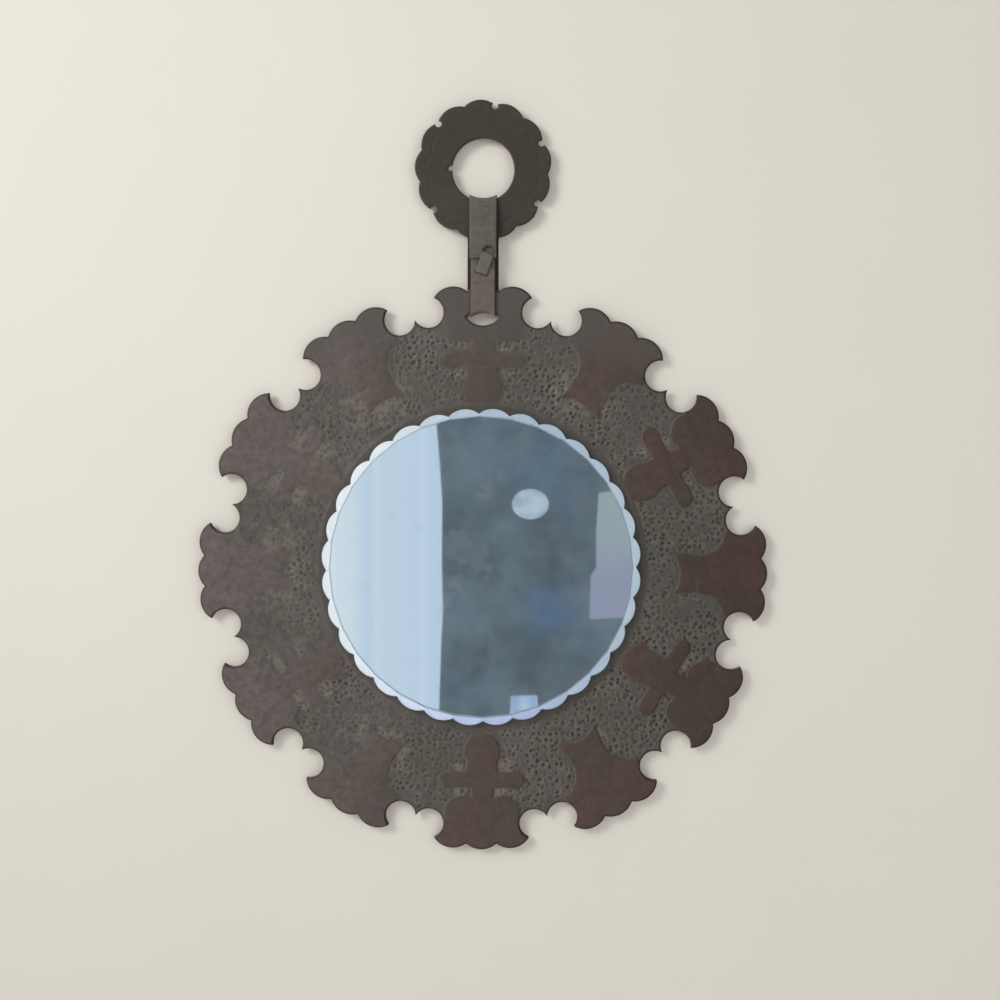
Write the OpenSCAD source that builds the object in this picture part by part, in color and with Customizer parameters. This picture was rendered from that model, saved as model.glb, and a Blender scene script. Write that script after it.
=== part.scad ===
// Tooled leather mirror. A lobed leather panel carries a scalloped, bevelled glass
// on its face and hangs from a strap that is looped through a leather ring.
// Millimetres. The face looks along -Y, +Z is up, and the origin is the middle of
// the ring's hole, halfway through its leather.

/* [Leather panel] */
// Radius of the panel, from its centre to the crest of a lobe
panel_r = 268; // [250:1:290]
// Thickness of the panel's leather
panel_t = 4.6; // [3.6:0.1:6]
// Number of lobes round the panel, even because two carved figures take turns
lobe_count = 12; // [10:2:12]
// Radius of the gouge that cuts every scallop of the leather
scallop_r = 21; // [19:0.5:23]
// Angle between the three scallops on the crest of a lobe
crest_angle = 6.35; // [5.8:0.05:6.8]
// Radius of the round punch that bites out the necks of the lobes
bite_r = 14.25; // [13.9:0.05:15.5]
// Distance from the crest of a lobe in to the middle of the bites
bite_inset = 20.5; // [18:0.5:23]
// Distance of a bite's middle from the tooth between two lobes
bite_offset = 13.8; // [12.5:0.1:13.8]

/* [Carving] */
// Depth of the ground that is beaten down round the carved figures
ground_depth = 0.8; // [0.4:0.1:1.4]
// Distance from the crest to the line where a figure fills the whole lobe
neck_inset = 31; // [29:0.5:33]
// Radius of the two round shoulders of a tall figure
shoulder_r = 17; // [15:0.5:17]
// Distance of a shoulder's middle from the middle of the lobe
shoulder_x = 19; // [17:0.5:20]
// Distance from the crest to the middle of the shoulders
shoulder_inset = 35; // [33:0.5:37]
// Width of a tall figure's waist
waist_w = 21; // [16:0.5:26]
// Span of a tall figure's arms, tip to tip
arm_span = 82; // [72:1:90]
// Width of a tall figure's arms
arm_w = 15; // [12:0.5:17]
// Distance from the crest to the middle of the arms
arm_inset = 68.5; // [66:0.5:70]
// Width of the stem between the arms and the round head
stem_w = 29; // [24:0.5:32]
// Radius of a tall figure's round head
head_r = 17.5; // [15:0.5:18]
// Distance from the crest to the middle of the head
head_inset = 96; // [92:0.5:98]
// Radius of the two cuts that narrow a short figure
side_cut_r = 24.7; // [23:0.1:26]
// Width of a short figure between the two cuts
short_waist_w = 34; // [28:0.5:38]
// Distance from the crest to the middle of the two cuts
side_cut_inset = 65.6; // [63:0.1:68]
// Width of a short figure at its flared end
short_end_w = 38; // [36:0.5:42]
// Distance from the crest to the corners of the flared end
short_end_inset = 88; // [84:0.5:92]
// Depth of the hollow curve in the flared end
short_end_hollow = 5.5; // [3:0.5:8]

/* [Mirror] */
// Radius of the glass, from its centre to the crest of a scallop
mirror_r = 150; // [140:1:153]
// Number of scallops round the glass
mirror_scallops = 32; // [28:1:34]
// Thickness of the glass
glass_t = 5; // [4:0.5:6]
// Width of the flat facet that is ground on every scallop, from its crest inwards
bevel_w = 8.4; // [7:0.1:14]
// Thickness that the facet leaves at the crest of a scallop
rim_t = 2.6; // [1.5:0.1:3.5]
// Width of the plain leather that is left round the glass
seat_border = 5; // [2:0.5:7]
// Height of the glass's centre above the panel's centre
mirror_rise = 4; // [0:0.5:6]
// Distance of the glass's centre to the right of the panel's centre
mirror_shift = -1; // [-3:0.5:3]
// Turn of the glass, from a crest straight up, in degrees
mirror_turn_deg = 6.5; // [-6:0.5:7]
// Thickness of the silvering and its paint
silver_t = 0.4; // [0.2:0.1:0.8]
// Thickness of the adhesive between the mirror and the leather
adhesive_t = 1.2; // [0.8:0.1:2]
// Diameter of a dab of adhesive
dab_d = 46; // [30:1:60]
// Number of dabs in the ring round the middle one
dab_count = 7; // [5:1:8]
// Radius of the ring of dabs
dab_ring_r = 96; // [80:1:108]

/* [Hanging ring] */
// Radius of the ring, to the crest of a scallop
ring_r = 63; // [60:0.5:68]
// Radius of the ring's hole
ring_hole_r = 28.5; // [26:0.5:32]
// Thickness of the ring's leather
ring_t = 4.6; // [3.6:0.1:6]
// Number of scallops round the ring
ring_scallops = 13; // [12:1:14]
// Turn of the ring, from a cusp straight below the hole, in degrees
ring_turn_deg = 3.5; // [-13:0.5:13]
// Radius of the small punch that opens every second cusp
cusp_punch_r = 3; // [1.5:0.1:3.4]
// Radius of the small notch in the edge of the hole
eye_notch_r = 2.6; // [1:0.1:3]

/* [Strap] */
// Width of the strap where it lies in front of the ring
strap_w = 25.4; // [22:0.1:26.5]
// Width of the strap's front where it lies on the panel
under_w = 23; // [20:0.1:25]
// Width of the strap's rear run
rear_w = 29; // [27:0.5:32]
// Thickness of the strap's leather
strap_t = 2.8; // [2:0.1:3.2]
// Distance from the foot of the ring's hole to the head of the panel's slot
strap_reach = 99; // [94:1:120]
// Distance from the head of the slot up to the crest of its lobe
slot_margin = 23; // [20:0.5:25]
// Space in the slot beside each edge of the strap
slot_play = 3.7; // [3:0.1:4.5]
// Height of the slot at its middle
slot_h = 14.25; // [13.5:0.25:16]
// Distance from the ring's edge down to the end that lies on top
lap_below_ring = 18; // [16:0.1:20]
// Distance that the two ends lie on each other
lap_len = 38; // [30:0.5:42]

/* [Lace] */
// Width of the lace that ties the two ends together
lace_w = 11; // [8:0.5:12]
// Thickness of the lace
lace_t = 1.6; // [1.2:0.1:1.8]
// Slant of the lace from the upright, in degrees
lace_slant = 20; // [0:1:22]
// Distance of the lace's middle to the right of the strap's middle
lace_side = 1.5; // [0:0.5:2.5]
// Height of the arched hole that the lace comes out of
lace_hole_h = 8.5; // [7.5:0.1:10]
// Distance from the end of the upper layer up to the foot of that hole
lace_hole_margin = 3.6; // [3.4:0.1:4.5]
// Distance from the foot of that hole down to the slit that the lace goes into
lace_stitch = 16.4; // [13:0.1:17]

/* [Hidden] */
$fn = 96;
// running clearance between pieces that move on each other
seat = 0.3;
// gap between two layers that lie on each other
layer_gap = 0.2;
// overlap of two solids of one piece, and overshoot of a cut past a face
blend = 0.5;
// the inner corners of the strap's turns
bend_r = 0.6;

lobe_pitch = 360 / lobe_count;
bite_ring_r = panel_r - bite_inset;

// heights in the row's frame
ring_foot_z = -ring_r;
slot_head_z = -ring_hole_r - strap_reach;
panel_z = slot_head_z - (panel_r - slot_margin);
mirror_at = [mirror_shift, 0, panel_z + mirror_rise];

// a lens cut by two strokes of one round gouge
function lens_radius(w, h) = (w * w / 4 + h * h / 4) / h;

slot_w = under_w + 2 * slot_play;
slot_edge_r = lens_radius(slot_w, slot_h);

// the strap's layers, measured forwards from the middle of the ring's leather
half_gap = max(ring_t, panel_t) / 2 + seat;
lower_out = half_gap + strap_t;
upper_in = lower_out + layer_gap;
upper_out = upper_in + strap_t;

// heights of the strap's flat runs and of its lap
run_head_z = seat - ring_hole_r - bend_r;
run_foot_z = slot_head_z - seat + bend_r;
rear_taper = 12;
lap_end_z = ring_foot_z - lap_below_ring;
lap_head_z = lap_end_z + lap_len;
step_foot_z = lap_head_z + layer_gap;
step_h = 7;

// the lace: heights on its own slanted line, and the play in its hole and slit
lace_play = 0.3;
lace_hole_z = lap_end_z + lace_hole_margin;
lace_slit_z = lace_hole_z - lace_stitch;
lace_mid_z = (lace_hole_z + lace_slit_z) / 2;
lace_tail_gap = 1.5;

// faces of the mirror's layers, measured forwards from the panel's middle
leather_face = panel_t / 2;
silver_back = leather_face + adhesive_t;
glass_back = silver_back + silver_t;

// 2D outlines are drawn upright, x to the right and y up, and stood on their edge
// so that they grow forwards from y = -from.
module stand(from, thick, z = 0) {
    translate([0, -from, z]) rotate([90, 0, 0]) linear_extrude(thick) children();
}

// the same, centred on the middle of the glass
module stand_mirror(from, thick) {
    translate(mirror_at) stand(from, thick) children();
}

module lens(w, h) {
    r = lens_radius(w, h);
    intersection() {
        translate([0, r - h / 2]) circle(r = r);
        translate([0, h / 2 - r]) circle(r = r);
    }
}

module bar(half_w, low, high) {
    translate([-half_w, low]) square([2 * half_w, high - low]);
}

// a rounded disc edge of equal scallops
module scallops(crest_r, cut_r, count, first = 0) {
    for (k = [0 : count - 1])
        rotate(first + k * 360 / count) translate([0, crest_r - cut_r]) circle(r = cut_r);
}

// the lobed outline: three scallops on each crest, two bites beside each tooth
module panel_outline() {
    difference() {
        union() {
            circle(r = bite_ring_r, $fn = 180);
            for (k = [0 : lobe_count - 1], side = [-1 : 1])
                rotate(k * lobe_pitch + side * crest_angle)
                    translate([0, panel_r - scallop_r]) circle(r = scallop_r);
        }
        for (k = [0 : lobe_count - 1], side = [-1, 1])
            rotate((k + 0.5) * lobe_pitch)
                translate([side * bite_offset, bite_ring_r]) circle(r = bite_r);
    }
}

// the part of both figures that fills the lobe above its neck
module figure_crest() {
    bar(50, panel_r - neck_inset, panel_r + 10);
}

// shoulders, waist, arms and a round head
module tall_figure() {
    shoulder_y = panel_r - shoulder_inset;
    arm_y = panel_r - arm_inset;
    head_y = panel_r - head_inset;
    figure_crest();
    for (side = [-1, 1])
        translate([side * shoulder_x, shoulder_y]) circle(r = shoulder_r);
    bar(shoulder_x, shoulder_y - shoulder_r / 2, panel_r - neck_inset + blend);
    bar(waist_w / 2, arm_y, shoulder_y);
    bar(arm_span / 2 - arm_w / 2, arm_y - arm_w / 2, arm_y + arm_w / 2);
    for (side = [-1, 1])
        translate([side * (arm_span - arm_w) / 2, arm_y]) circle(r = arm_w / 2);
    bar(stem_w / 2, head_y, arm_y);
    translate([0, head_y]) circle(r = head_r);
}

// a column narrowed by two cuts, with a flared and hollowed end
module short_figure() {
    cut_y = panel_r - side_cut_inset;
    end_y = panel_r - short_end_inset;
    hollow_r = lens_radius(short_end_w, 2 * short_end_hollow);
    cut_x = short_waist_w / 2 + side_cut_r;
    figure_crest();
    difference() {
        union() {
            bar(cut_x - 2, cut_y, panel_r - neck_inset + blend);
            polygon([[-short_waist_w / 2, cut_y + blend], [short_waist_w / 2, cut_y + blend],
                     [short_end_w / 2, end_y], [-short_end_w / 2, end_y]]);
        }
        intersection() {
            for (side = [-1, 1])
                translate([side * cut_x, cut_y]) circle(r = side_cut_r);
            bar(panel_r, cut_y - blend, panel_r);
        }
        translate([0, end_y + short_end_hollow - hollow_r]) circle(r = hollow_r);
    }
}

module carved_figures() {
    for (k = [0 : lobe_count - 1])
        rotate(k * lobe_pitch)
            if (k % 2 == 0) tall_figure();
            else short_figure();
}

module mirror_outline(inset = 0) {
    circle(r = mirror_r - scallop_r / 2, $fn = 180);
    scallops(mirror_r - inset, scallop_r - inset, mirror_scallops, mirror_turn_deg);
}

module tooled_panel() {
    color([0.34, 0.28, 0.24])
    difference() {
        stand(-panel_t / 2, panel_t, panel_z) difference() {
            panel_outline();
            translate([0, panel_r - slot_margin - slot_h / 2]) lens(slot_w, slot_h);
        }
        stand(leather_face - ground_depth, ground_depth + blend, panel_z) difference() {
            circle(r = panel_r + 10, $fn = 180);
            translate([mirror_shift, mirror_rise]) circle(r = mirror_r + seat_border, $fn = 180);
            carved_figures();
        }
    }
}

module mirror_adhesive() {
    color([0.75, 0.72, 0.66])
    stand_mirror(leather_face, adhesive_t) {
        circle(d = dab_d);
        for (k = [0 : dab_count - 1])
            rotate(k * 360 / dab_count) translate([0, dab_ring_r]) circle(d = dab_d);
    }
}

module mirror_silvering() {
    color([0.82, 0.84, 0.86])
    stand_mirror(silver_back, silver_t) mirror_outline(layer_gap);
}

module mirror_glass() {
    slope = atan2(glass_t - rim_t, bevel_w);
    color([0.62, 0.7, 0.8])
    difference() {
        stand_mirror(glass_back, glass_t) mirror_outline();
        translate(mirror_at) rotate([90, 0, 0])
            for (k = [0 : mirror_scallops - 1])
                rotate(mirror_turn_deg + k * 360 / mirror_scallops)
                    translate([-scallop_r, mirror_r - bevel_w, glass_back + glass_t])
                        rotate([-slope, 0, 0])
                            cube([2 * scallop_r, 2 * bevel_w, glass_t]);
    }
}

module hanging_ring() {
    step = 360 / ring_scallops;
    cut_x = ring_r - scallop_r;
    half_chord = cut_x * sin(step / 2);
    cusp_r = cut_x * cos(step / 2) + sqrt(scallop_r * scallop_r - half_chord * half_chord);
    color([0.2, 0.17, 0.15])
    stand(-ring_t / 2, ring_t) difference() {
        union() {
            circle(r = cusp_r - 1, $fn = 180);
            scallops(ring_r, scallop_r, ring_scallops, 180 + ring_turn_deg + step / 2);
        }
        circle(r = ring_hole_r);
        for (k = [-1 : floor(ring_scallops / 2) - 2])
            rotate(180 + ring_turn_deg + 2 * k * step)
                translate([0, cusp_r - 0.3 * cusp_punch_r]) circle(r = cusp_punch_r, $fn = 32);
        rotate(87) translate([0, ring_hole_r + eye_notch_r / 2]) circle(r = eye_notch_r, $fn = 32);
    }
}

// side view of a turn of the strap over a round edge of leather: the distance from
// the middle of that edge's circle is drawn to the right
module turn_profile(inner_r, leg_end_r) {
    corner_r = inner_r + bend_r;
    corner_y = half_gap - bend_r;
    difference() {
        union() {
            translate([inner_r - strap_t, -corner_y]) square([strap_t, 2 * corner_y]);
            intersection() {
                for (side = [-1, 1])
                    translate([corner_r, side * corner_y]) circle(r = strap_t + bend_r);
                translate([0, -lower_out]) square([corner_r, 2 * lower_out]);
            }
            translate([corner_r, -lower_out]) square([leg_end_r - corner_r, 2 * lower_out]);
        }
        translate([inner_r, -corner_y]) square([leg_end_r, 2 * corner_y]);
        translate([corner_r, -half_gap]) square([leg_end_r, 2 * half_gap]);
        for (side = [-1, 1])
            translate([corner_r, side * corner_y]) circle(r = bend_r, $fn = 32);
    }
}

// a turn of width w; its runs leave downwards (side -1) or upwards (side 1)
module turn(edge_r, side, w) {
    inner_r = edge_r - seat;
    leg_end_r = norm([inner_r + bend_r + blend, w / 2]);
    intersection() {
        rotate([90, 0, 0]) rotate_extrude($fn = 180) turn_profile(inner_r, leg_end_r);
        translate([-w / 2, -upper_out, min(0, side * leg_end_r)])
            cube([w, 2 * upper_out, leg_end_r]);
    }
}

// a strip of leather seen from its edge, of thickness t along a bent line of points
module strip(line, t) {
    for (k = [0 : len(line) - 2]) {
        way = line[k + 1] - line[k];
        translate(line[k]) rotate(atan2(way[1], way[0]))
            translate([0, -t / 2]) square([norm(way), t]);
    }
    for (k = [1 : len(line) - 2])
        translate(line[k]) circle(d = t, $fn = 32);
}

// grows a side view, drawn with y across and z up, to both sides of x = 0
module across(w) {
    rotate([90, 0, 90]) translate([0, 0, -w / 2]) linear_extrude(w) children();
}

// turns what is drawn about the middle of the lace onto its slanted line
module on_lace_line() {
    translate([lace_side, 0, lace_mid_z]) rotate([0, lace_slant, 0]) children();
}

// a hole from the middle plane out through the strap's front, with an arched head
module lace_hole(foot_z, h) {
    w = lace_w + 2 * lace_play;
    rise = min(h - lace_t - 2 * layer_gap, w / 2 - 0.5);
    head_r = lens_radius(w, 2 * rise);
    on_lace_line() stand(half_gap - blend, upper_out, foot_z - lace_mid_z) intersection() {
        bar(w / 2, 0, h);
        translate([0, h - head_r]) circle(r = head_r);
    }
}

module hanging_strap() {
    lower_y = half_gap + strap_t / 2;
    upper_y = upper_in + strap_t / 2;
    color([0.4, 0.36, 0.33])
    difference() {
        union() {
            turn(ring_hole_r, -1, strap_w);
            translate([0, 0, slot_head_z - slot_edge_r]) turn(slot_edge_r, 1, under_w);
            stand(-lower_out, strap_t)
                polygon([[strap_w / 2, run_head_z], [rear_w / 2, run_head_z - rear_taper],
                         [rear_w / 2, run_foot_z + rear_taper], [under_w / 2, run_foot_z],
                         [-under_w / 2, run_foot_z], [-rear_w / 2, run_foot_z + rear_taper],
                         [-rear_w / 2, run_head_z - rear_taper], [-strap_w / 2, run_head_z]]);
            stand(half_gap, strap_t) bar(under_w / 2, run_foot_z, lap_head_z);
            across(strap_w)
                strip([[-lower_y, run_head_z], [-lower_y, step_foot_z + step_h],
                       [-upper_y, step_foot_z], [-upper_y, lap_end_z]], strap_t);
        }
        lace_hole(lace_hole_z, lace_hole_h);
        on_lace_line() stand(half_gap - blend, upper_out, lace_slit_z - lace_mid_z)
            bar(lace_w / 2 + lace_play, -lace_t - 2 * layer_gap, 0);
    }
}

module strap_lace() {
    half_t = lace_t / 2;
    tail_y = half_gap - layer_gap - half_t;
    low_y = lower_out + layer_gap + half_t;
    high_y = upper_out + layer_gap + half_t;
    head_z = lace_hole_z + layer_gap + half_t - lace_mid_z;
    foot_z = lace_slit_z - layer_gap - half_t - lace_mid_z;
    // the end of the upper layer is level, so a slanted lace clears it at its edge
    ledge_z = lap_end_z - (lace_w / 2) * tan(lace_slant) - layer_gap - lace_mid_z;
    color([0.45, 0.4, 0.36])
    on_lace_line() across(lace_w)
        strip([[-tail_y, lace_tail_gap / 2], [-tail_y, head_z], [-high_y, head_z],
               [-high_y, ledge_z], [-low_y, ledge_z - strap_t / 2], [-low_y, foot_z],
               [-tail_y, foot_z], [-tail_y, -lace_tail_gap / 2]], lace_t);
}

hanging_ring();
hanging_strap();
strap_lace();
tooled_panel();
mirror_adhesive();
mirror_silvering();
mirror_glass();
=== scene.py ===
"""Tooled leather mirror: the visible surfaces, finishes, light and camera.

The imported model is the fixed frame. Every piece is in metres in that frame: the face
looks along -Y, +Z is up, and the origin is the middle of the hanging ring's hole.
The pieces' sizes are in millimetres until a mesh is written.
"""

import logging
import math
from dataclasses import dataclass, field
from enum import Enum
from functools import cache
from typing import Callable

import bpy
import numpy as np
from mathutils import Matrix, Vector


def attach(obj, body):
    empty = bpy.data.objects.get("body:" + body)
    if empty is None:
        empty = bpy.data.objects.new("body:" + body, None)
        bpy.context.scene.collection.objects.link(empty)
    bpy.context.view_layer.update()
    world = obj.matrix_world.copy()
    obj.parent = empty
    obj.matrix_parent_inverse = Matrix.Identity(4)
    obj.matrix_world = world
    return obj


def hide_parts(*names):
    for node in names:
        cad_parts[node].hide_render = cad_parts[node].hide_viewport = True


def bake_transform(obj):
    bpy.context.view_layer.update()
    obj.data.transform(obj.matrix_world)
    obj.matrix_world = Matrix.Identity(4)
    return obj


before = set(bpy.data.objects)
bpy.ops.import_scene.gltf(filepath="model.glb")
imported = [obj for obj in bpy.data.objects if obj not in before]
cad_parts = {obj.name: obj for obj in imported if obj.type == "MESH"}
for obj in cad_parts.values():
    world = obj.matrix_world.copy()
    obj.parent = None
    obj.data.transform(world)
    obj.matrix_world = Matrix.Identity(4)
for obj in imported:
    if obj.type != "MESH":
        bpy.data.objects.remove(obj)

LOG = logging.getLogger("leather_mirror")
MM = 0.001
Array = np.ndarray
Rgb = tuple[float, float, float]
Place = tuple[float, float, float]
Socket = bpy.types.NodeSocket
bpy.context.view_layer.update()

# Factors of the fixed random numbers, and the 32 bits that are kept of each
HASH_I, HASH_J, HASH_SEED, HASH_MIX = 374761393, 668265263, 974634777, 1274126177
WORD = 0xFFFFFFFF

SLOPE_STEP = 0.02  # mm to each side, for the slope of a signed distance
LEAST_SLOPE = 0.3  # least squared slope that a Newton step divides by
SNAP_ROUNDS = 4  # Newton steps
SNAP_MISS = 0.03  # mm off the outline that still counts as on it
BRIDGE_MISS = 0.02  # mm outside at which a triangle bridges a notch
LEAST_AREA = 1e-4  # square mm, under which a triangle is dropped
SHARP_ANGLE = 48.0  # degrees between two faces that meet in a crease


# Sums on arrays


def smooth(x: Array, low: float, high: float) -> Array:
    """Smoothstep: 3t^2 - 2t^3 with t = (x - low) / (high - low), held from 0 to 1.

    Args:
        x: Values.
        low: Where it starts, at 0.
        high: Where it ends, at 1.

    Returns:
        Values from 0 to 1.
    """
    t = np.clip((x - low) / (high - low), 0.0, 1.0)
    return t * t * (3.0 - 2.0 * t)


def bell(x: Array) -> Array:
    """Bell curve: exp(-x^2)."""
    return np.exp(-np.square(x))


def lattice_hash(i: Array, j: Array, seed: int) -> Array:
    """A fixed pseudo-random number for each whole-number pair.

    Args:
        i: Whole numbers along the first way.
        j: Whole numbers along the second way.
        seed: Number of the pattern.

    Returns:
        Values from 0 to 1, the same on every run.
    """
    h = i.astype(np.int64) * HASH_I + j.astype(np.int64) * HASH_J + seed * HASH_SEED
    h = h & WORD
    h = ((h ^ (h >> 13)) * HASH_MIX) & WORD
    return ((h ^ (h >> 16)) & WORD) / (WORD + 1.0)


def value_noise(u: Array, v: Array, size: float, seed: int) -> Array:
    """Smooth noise from -1 to 1: lattice values blended by smoothstep in each cell.

    Args:
        u: First coordinate in mm.
        v: Second coordinate in mm.
        size: Width of a cell in mm.
        seed: Number of the pattern.

    Returns:
        One value for each point.
    """
    x, y = u / size, v / size
    i, j = np.floor(x), np.floor(y)
    fx, fy = smooth(x - i, 0.0, 1.0), smooth(y - j, 0.0, 1.0)
    low = lattice_hash(i, j, seed) * (1 - fx) + lattice_hash(i + 1, j, seed) * fx
    high = lattice_hash(i, j + 1, seed) * (1 - fx) + lattice_hash(i + 1, j + 1, seed) * fx
    return 2.0 * (low * (1 - fy) + high * fy) - 1.0


def waves(u: Array, v: Array, size: float, seed: int) -> Array:
    """Noise on turned and bent coordinates, so that its cells leave no straight lines.

    Args:
        u: First coordinate in mm.
        v: Second coordinate in mm.
        size: Width of a cell in mm.
        seed: Number of the pattern.

    Returns:
        Values from -1 to 1.
    """
    bend = 0.35 * size
    a = 0.8 * u + 0.6 * v + bend * value_noise(u, v, 0.8 * size, seed + 100)
    b = 0.8 * v - 0.6 * u + bend * value_noise(u, v, 0.8 * size, seed + 200)
    return value_noise(a, b, size, seed)


def lens_radius(width: float, height: float) -> float:
    """Radius of the two strokes that cut a lens: (w^2 / 4 + h^2 / 4) / h."""
    return (width * width / 4 + height * height / 4) / height


def disc(u: Array, v: Array, cu: float, cv: float, r: float) -> Array:
    """Distance inside a circle: r minus the distance to its centre."""
    return r - np.hypot(u - cu, v - cv)


def block(u: Array, v: Array, half_w: float, low: float, high: float) -> Array:
    """Distance inside an upright box: the least of the distances to its sides."""
    return np.minimum(half_w - np.abs(u), np.minimum(v - low, high - v))


def flat_grid(first: Array, second: Array) -> Array:
    """Grid of points, the first coordinate by rows and the second by columns."""
    return np.stack(np.meshgrid(first, second, indexing="ij"), axis=2)


def polar_grid(radius: Array, angle: Array) -> Array:
    """Grid of points at r (sin a, cos a), radius by rows and angle by columns."""
    r, a = np.meshgrid(radius, angle, indexing="ij")
    return np.stack([r * np.sin(a), r * np.cos(a)], axis=2)


# Sheets of leather


@dataclass
class CutSheet:
    """A sheet cut to an outline, made on a grid of two parameters.

    The grid's points near the outline are moved onto it along the slope of the
    signed distance, and cells outside it are dropped, so the cut edge is true.
    """

    plan: Array
    inside: Callable[[Array, Array], Array]
    wrap: bool = False
    reach: float = 0.5
    points: Array = field(init=False)
    tris: Array = field(init=False)
    column: Array = field(init=False)
    depth: Array = field(init=False)

    def __post_init__(self) -> None:
        """Cuts the grid to the outline."""
        self._snap()
        self._cut()

    def _slope(self, p: Array) -> Array:
        """Central differences of the signed distance.

        Args:
            p: Points, one row of two coordinates each.

        Returns:
            The slope along each coordinate, one row for each point.
        """
        e = SLOPE_STEP
        du = self.inside(p[:, 0] + e, p[:, 1]) - self.inside(p[:, 0] - e, p[:, 1])
        dv = self.inside(p[:, 0], p[:, 1] + e) - self.inside(p[:, 0], p[:, 1] - e)
        return np.stack([du, dv], axis=1) / (2 * e)

    def _snap(self) -> None:
        """Newton steps p - d g / |g|^2 take points within reach onto the outline."""
        p = self.plan.reshape(-1, 2).astype(float)
        d = self.inside(p[:, 0], p[:, 1])
        near = np.flatnonzero(np.abs(d) < self.reach)
        q = p[near]
        for _ in range(SNAP_ROUNDS):
            g = self._slope(q)
            dq = self.inside(q[:, 0], q[:, 1])
            step = dq[:, None] * g / np.maximum((g * g).sum(axis=1), LEAST_SLOPE)[:, None]
            q = q - np.clip(step, -0.6 * self.reach, 0.6 * self.reach)
        good = np.abs(self.inside(q[:, 0], q[:, 1])) < SNAP_MISS
        p[near[good]] = q[good]
        d[near[good]] = 0.0
        self.points, self.depth = p, d

    def _cut(self) -> None:
        """Keeps the triangles whose corners all lie inside or on the outline.

        A cell is split along the diagonal whose two ends are kept. Triangles turned
        over or without area go, and so do those that bridge a notch.
        """
        rows, cols = self.plan.shape[:2]
        inner = self.depth >= 0.0
        span = cols if self.wrap else cols - 1
        i, j = np.meshgrid(np.arange(rows - 1), np.arange(span), indexing="ij")
        a = (i * cols + j).ravel()
        b = (i * cols + (j + 1) % cols).ravel()
        c, e = b + cols, a + cols
        cross = inner[b] & inner[e] & ~(inner[a] & inner[c])
        first = np.where(cross[:, None], np.stack([a, b, e], 1), np.stack([a, b, c], 1))
        second = np.where(cross[:, None], np.stack([b, c, e], 1), np.stack([a, c, e], 1))
        tris, column = np.concatenate([first, second]), np.tile(j.ravel(), 2)
        keep = inner[tris].all(axis=1)
        tris, column = tris[keep], column[keep]
        p = self.points
        area = np.cross(p[tris[:, 1]] - p[tris[:, 0]], p[tris[:, 2]] - p[tris[:, 0]]) / 2
        if area.sum() < 0:
            tris, area = tris[:, ::-1], -area
        middle = p[tris].mean(axis=1)
        edge_only = (self.depth[tris] == 0.0).all(axis=1)
        outside = edge_only & (self.inside(middle[:, 0], middle[:, 1]) < -BRIDGE_MISS)
        good = (area > LEAST_AREA) & ~outside
        used, index = np.unique(tris[good], return_inverse=True)
        self.tris, self.column = index.reshape(-1, 3), column[good]
        self.points, self.depth = p[used], self.depth[used]

    def piece(
        self,
        name: str,
        front: Array,
        back: Array,
        tracks: dict[str, Array],
        columns: tuple[int, int] | None = None,
    ) -> bpy.types.Object:
        """Makes one closed piece, or one closed slice of it, from the cut grid.

        Args:
            name: Name of the object.
            front: Place of every point on the face, in mm.
            back: Place of every point on the back, in mm.
            tracks: Masks from 0 to 1 for the face, each stored as an attribute.
            columns: First and last column of the slice, or None for all of it.

        Returns:
            The new object.
        """
        tris = self.tris
        if columns is not None:
            tris = tris[(self.column >= columns[0]) & (self.column < columns[1])]
        return sheet_object(name, front, back, tris, tracks)


def shell(tris: Array, count: int) -> Array:
    """Closes a sheet: its face, its back turned over, and a wall on every free side.

    Args:
        tris: The face, one row of three point numbers for each triangle.
        count: How many points the face has; those of the back follow them.

    Returns:
        The triangles of the closed piece.
    """
    sides = np.concatenate([tris[:, [0, 1]], tris[:, [1, 2]], tris[:, [2, 0]]])
    free = ~np.isin(sides[:, 0] * count + sides[:, 1], sides[:, 1] * count + sides[:, 0])
    a, b = sides[free].T
    wall = np.concatenate([np.stack([b, a, a + count], 1), np.stack([b, a + count, b + count], 1)])
    return np.concatenate([tris, tris[:, ::-1] + count, wall])


def sheet_object(
    name: str, front: Array, back: Array, tris: Array, tracks: dict[str, Array]
) -> bpy.types.Object:
    """Makes a closed piece from a face and a back.

    Args:
        name: Name of the object.
        front: Place of every point on the face, in mm.
        back: Place of every point on the back, in mm.
        tris: The face, one row of three point numbers for each triangle.
        tracks: Masks for the face. The back has the same ones, and flesh besides.

    Returns:
        The new object.
    """
    n = len(front)
    used, index = np.unique(shell(tris, n), return_inverse=True)
    places = np.concatenate([front, back])[used] * MM
    masks = {key: np.concatenate([value, value])[used] for key, value in tracks.items()}
    masks["flesh"] = (used >= n).astype(float)
    return mesh_object(name, places, index.reshape(-1, 3), masks)


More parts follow.
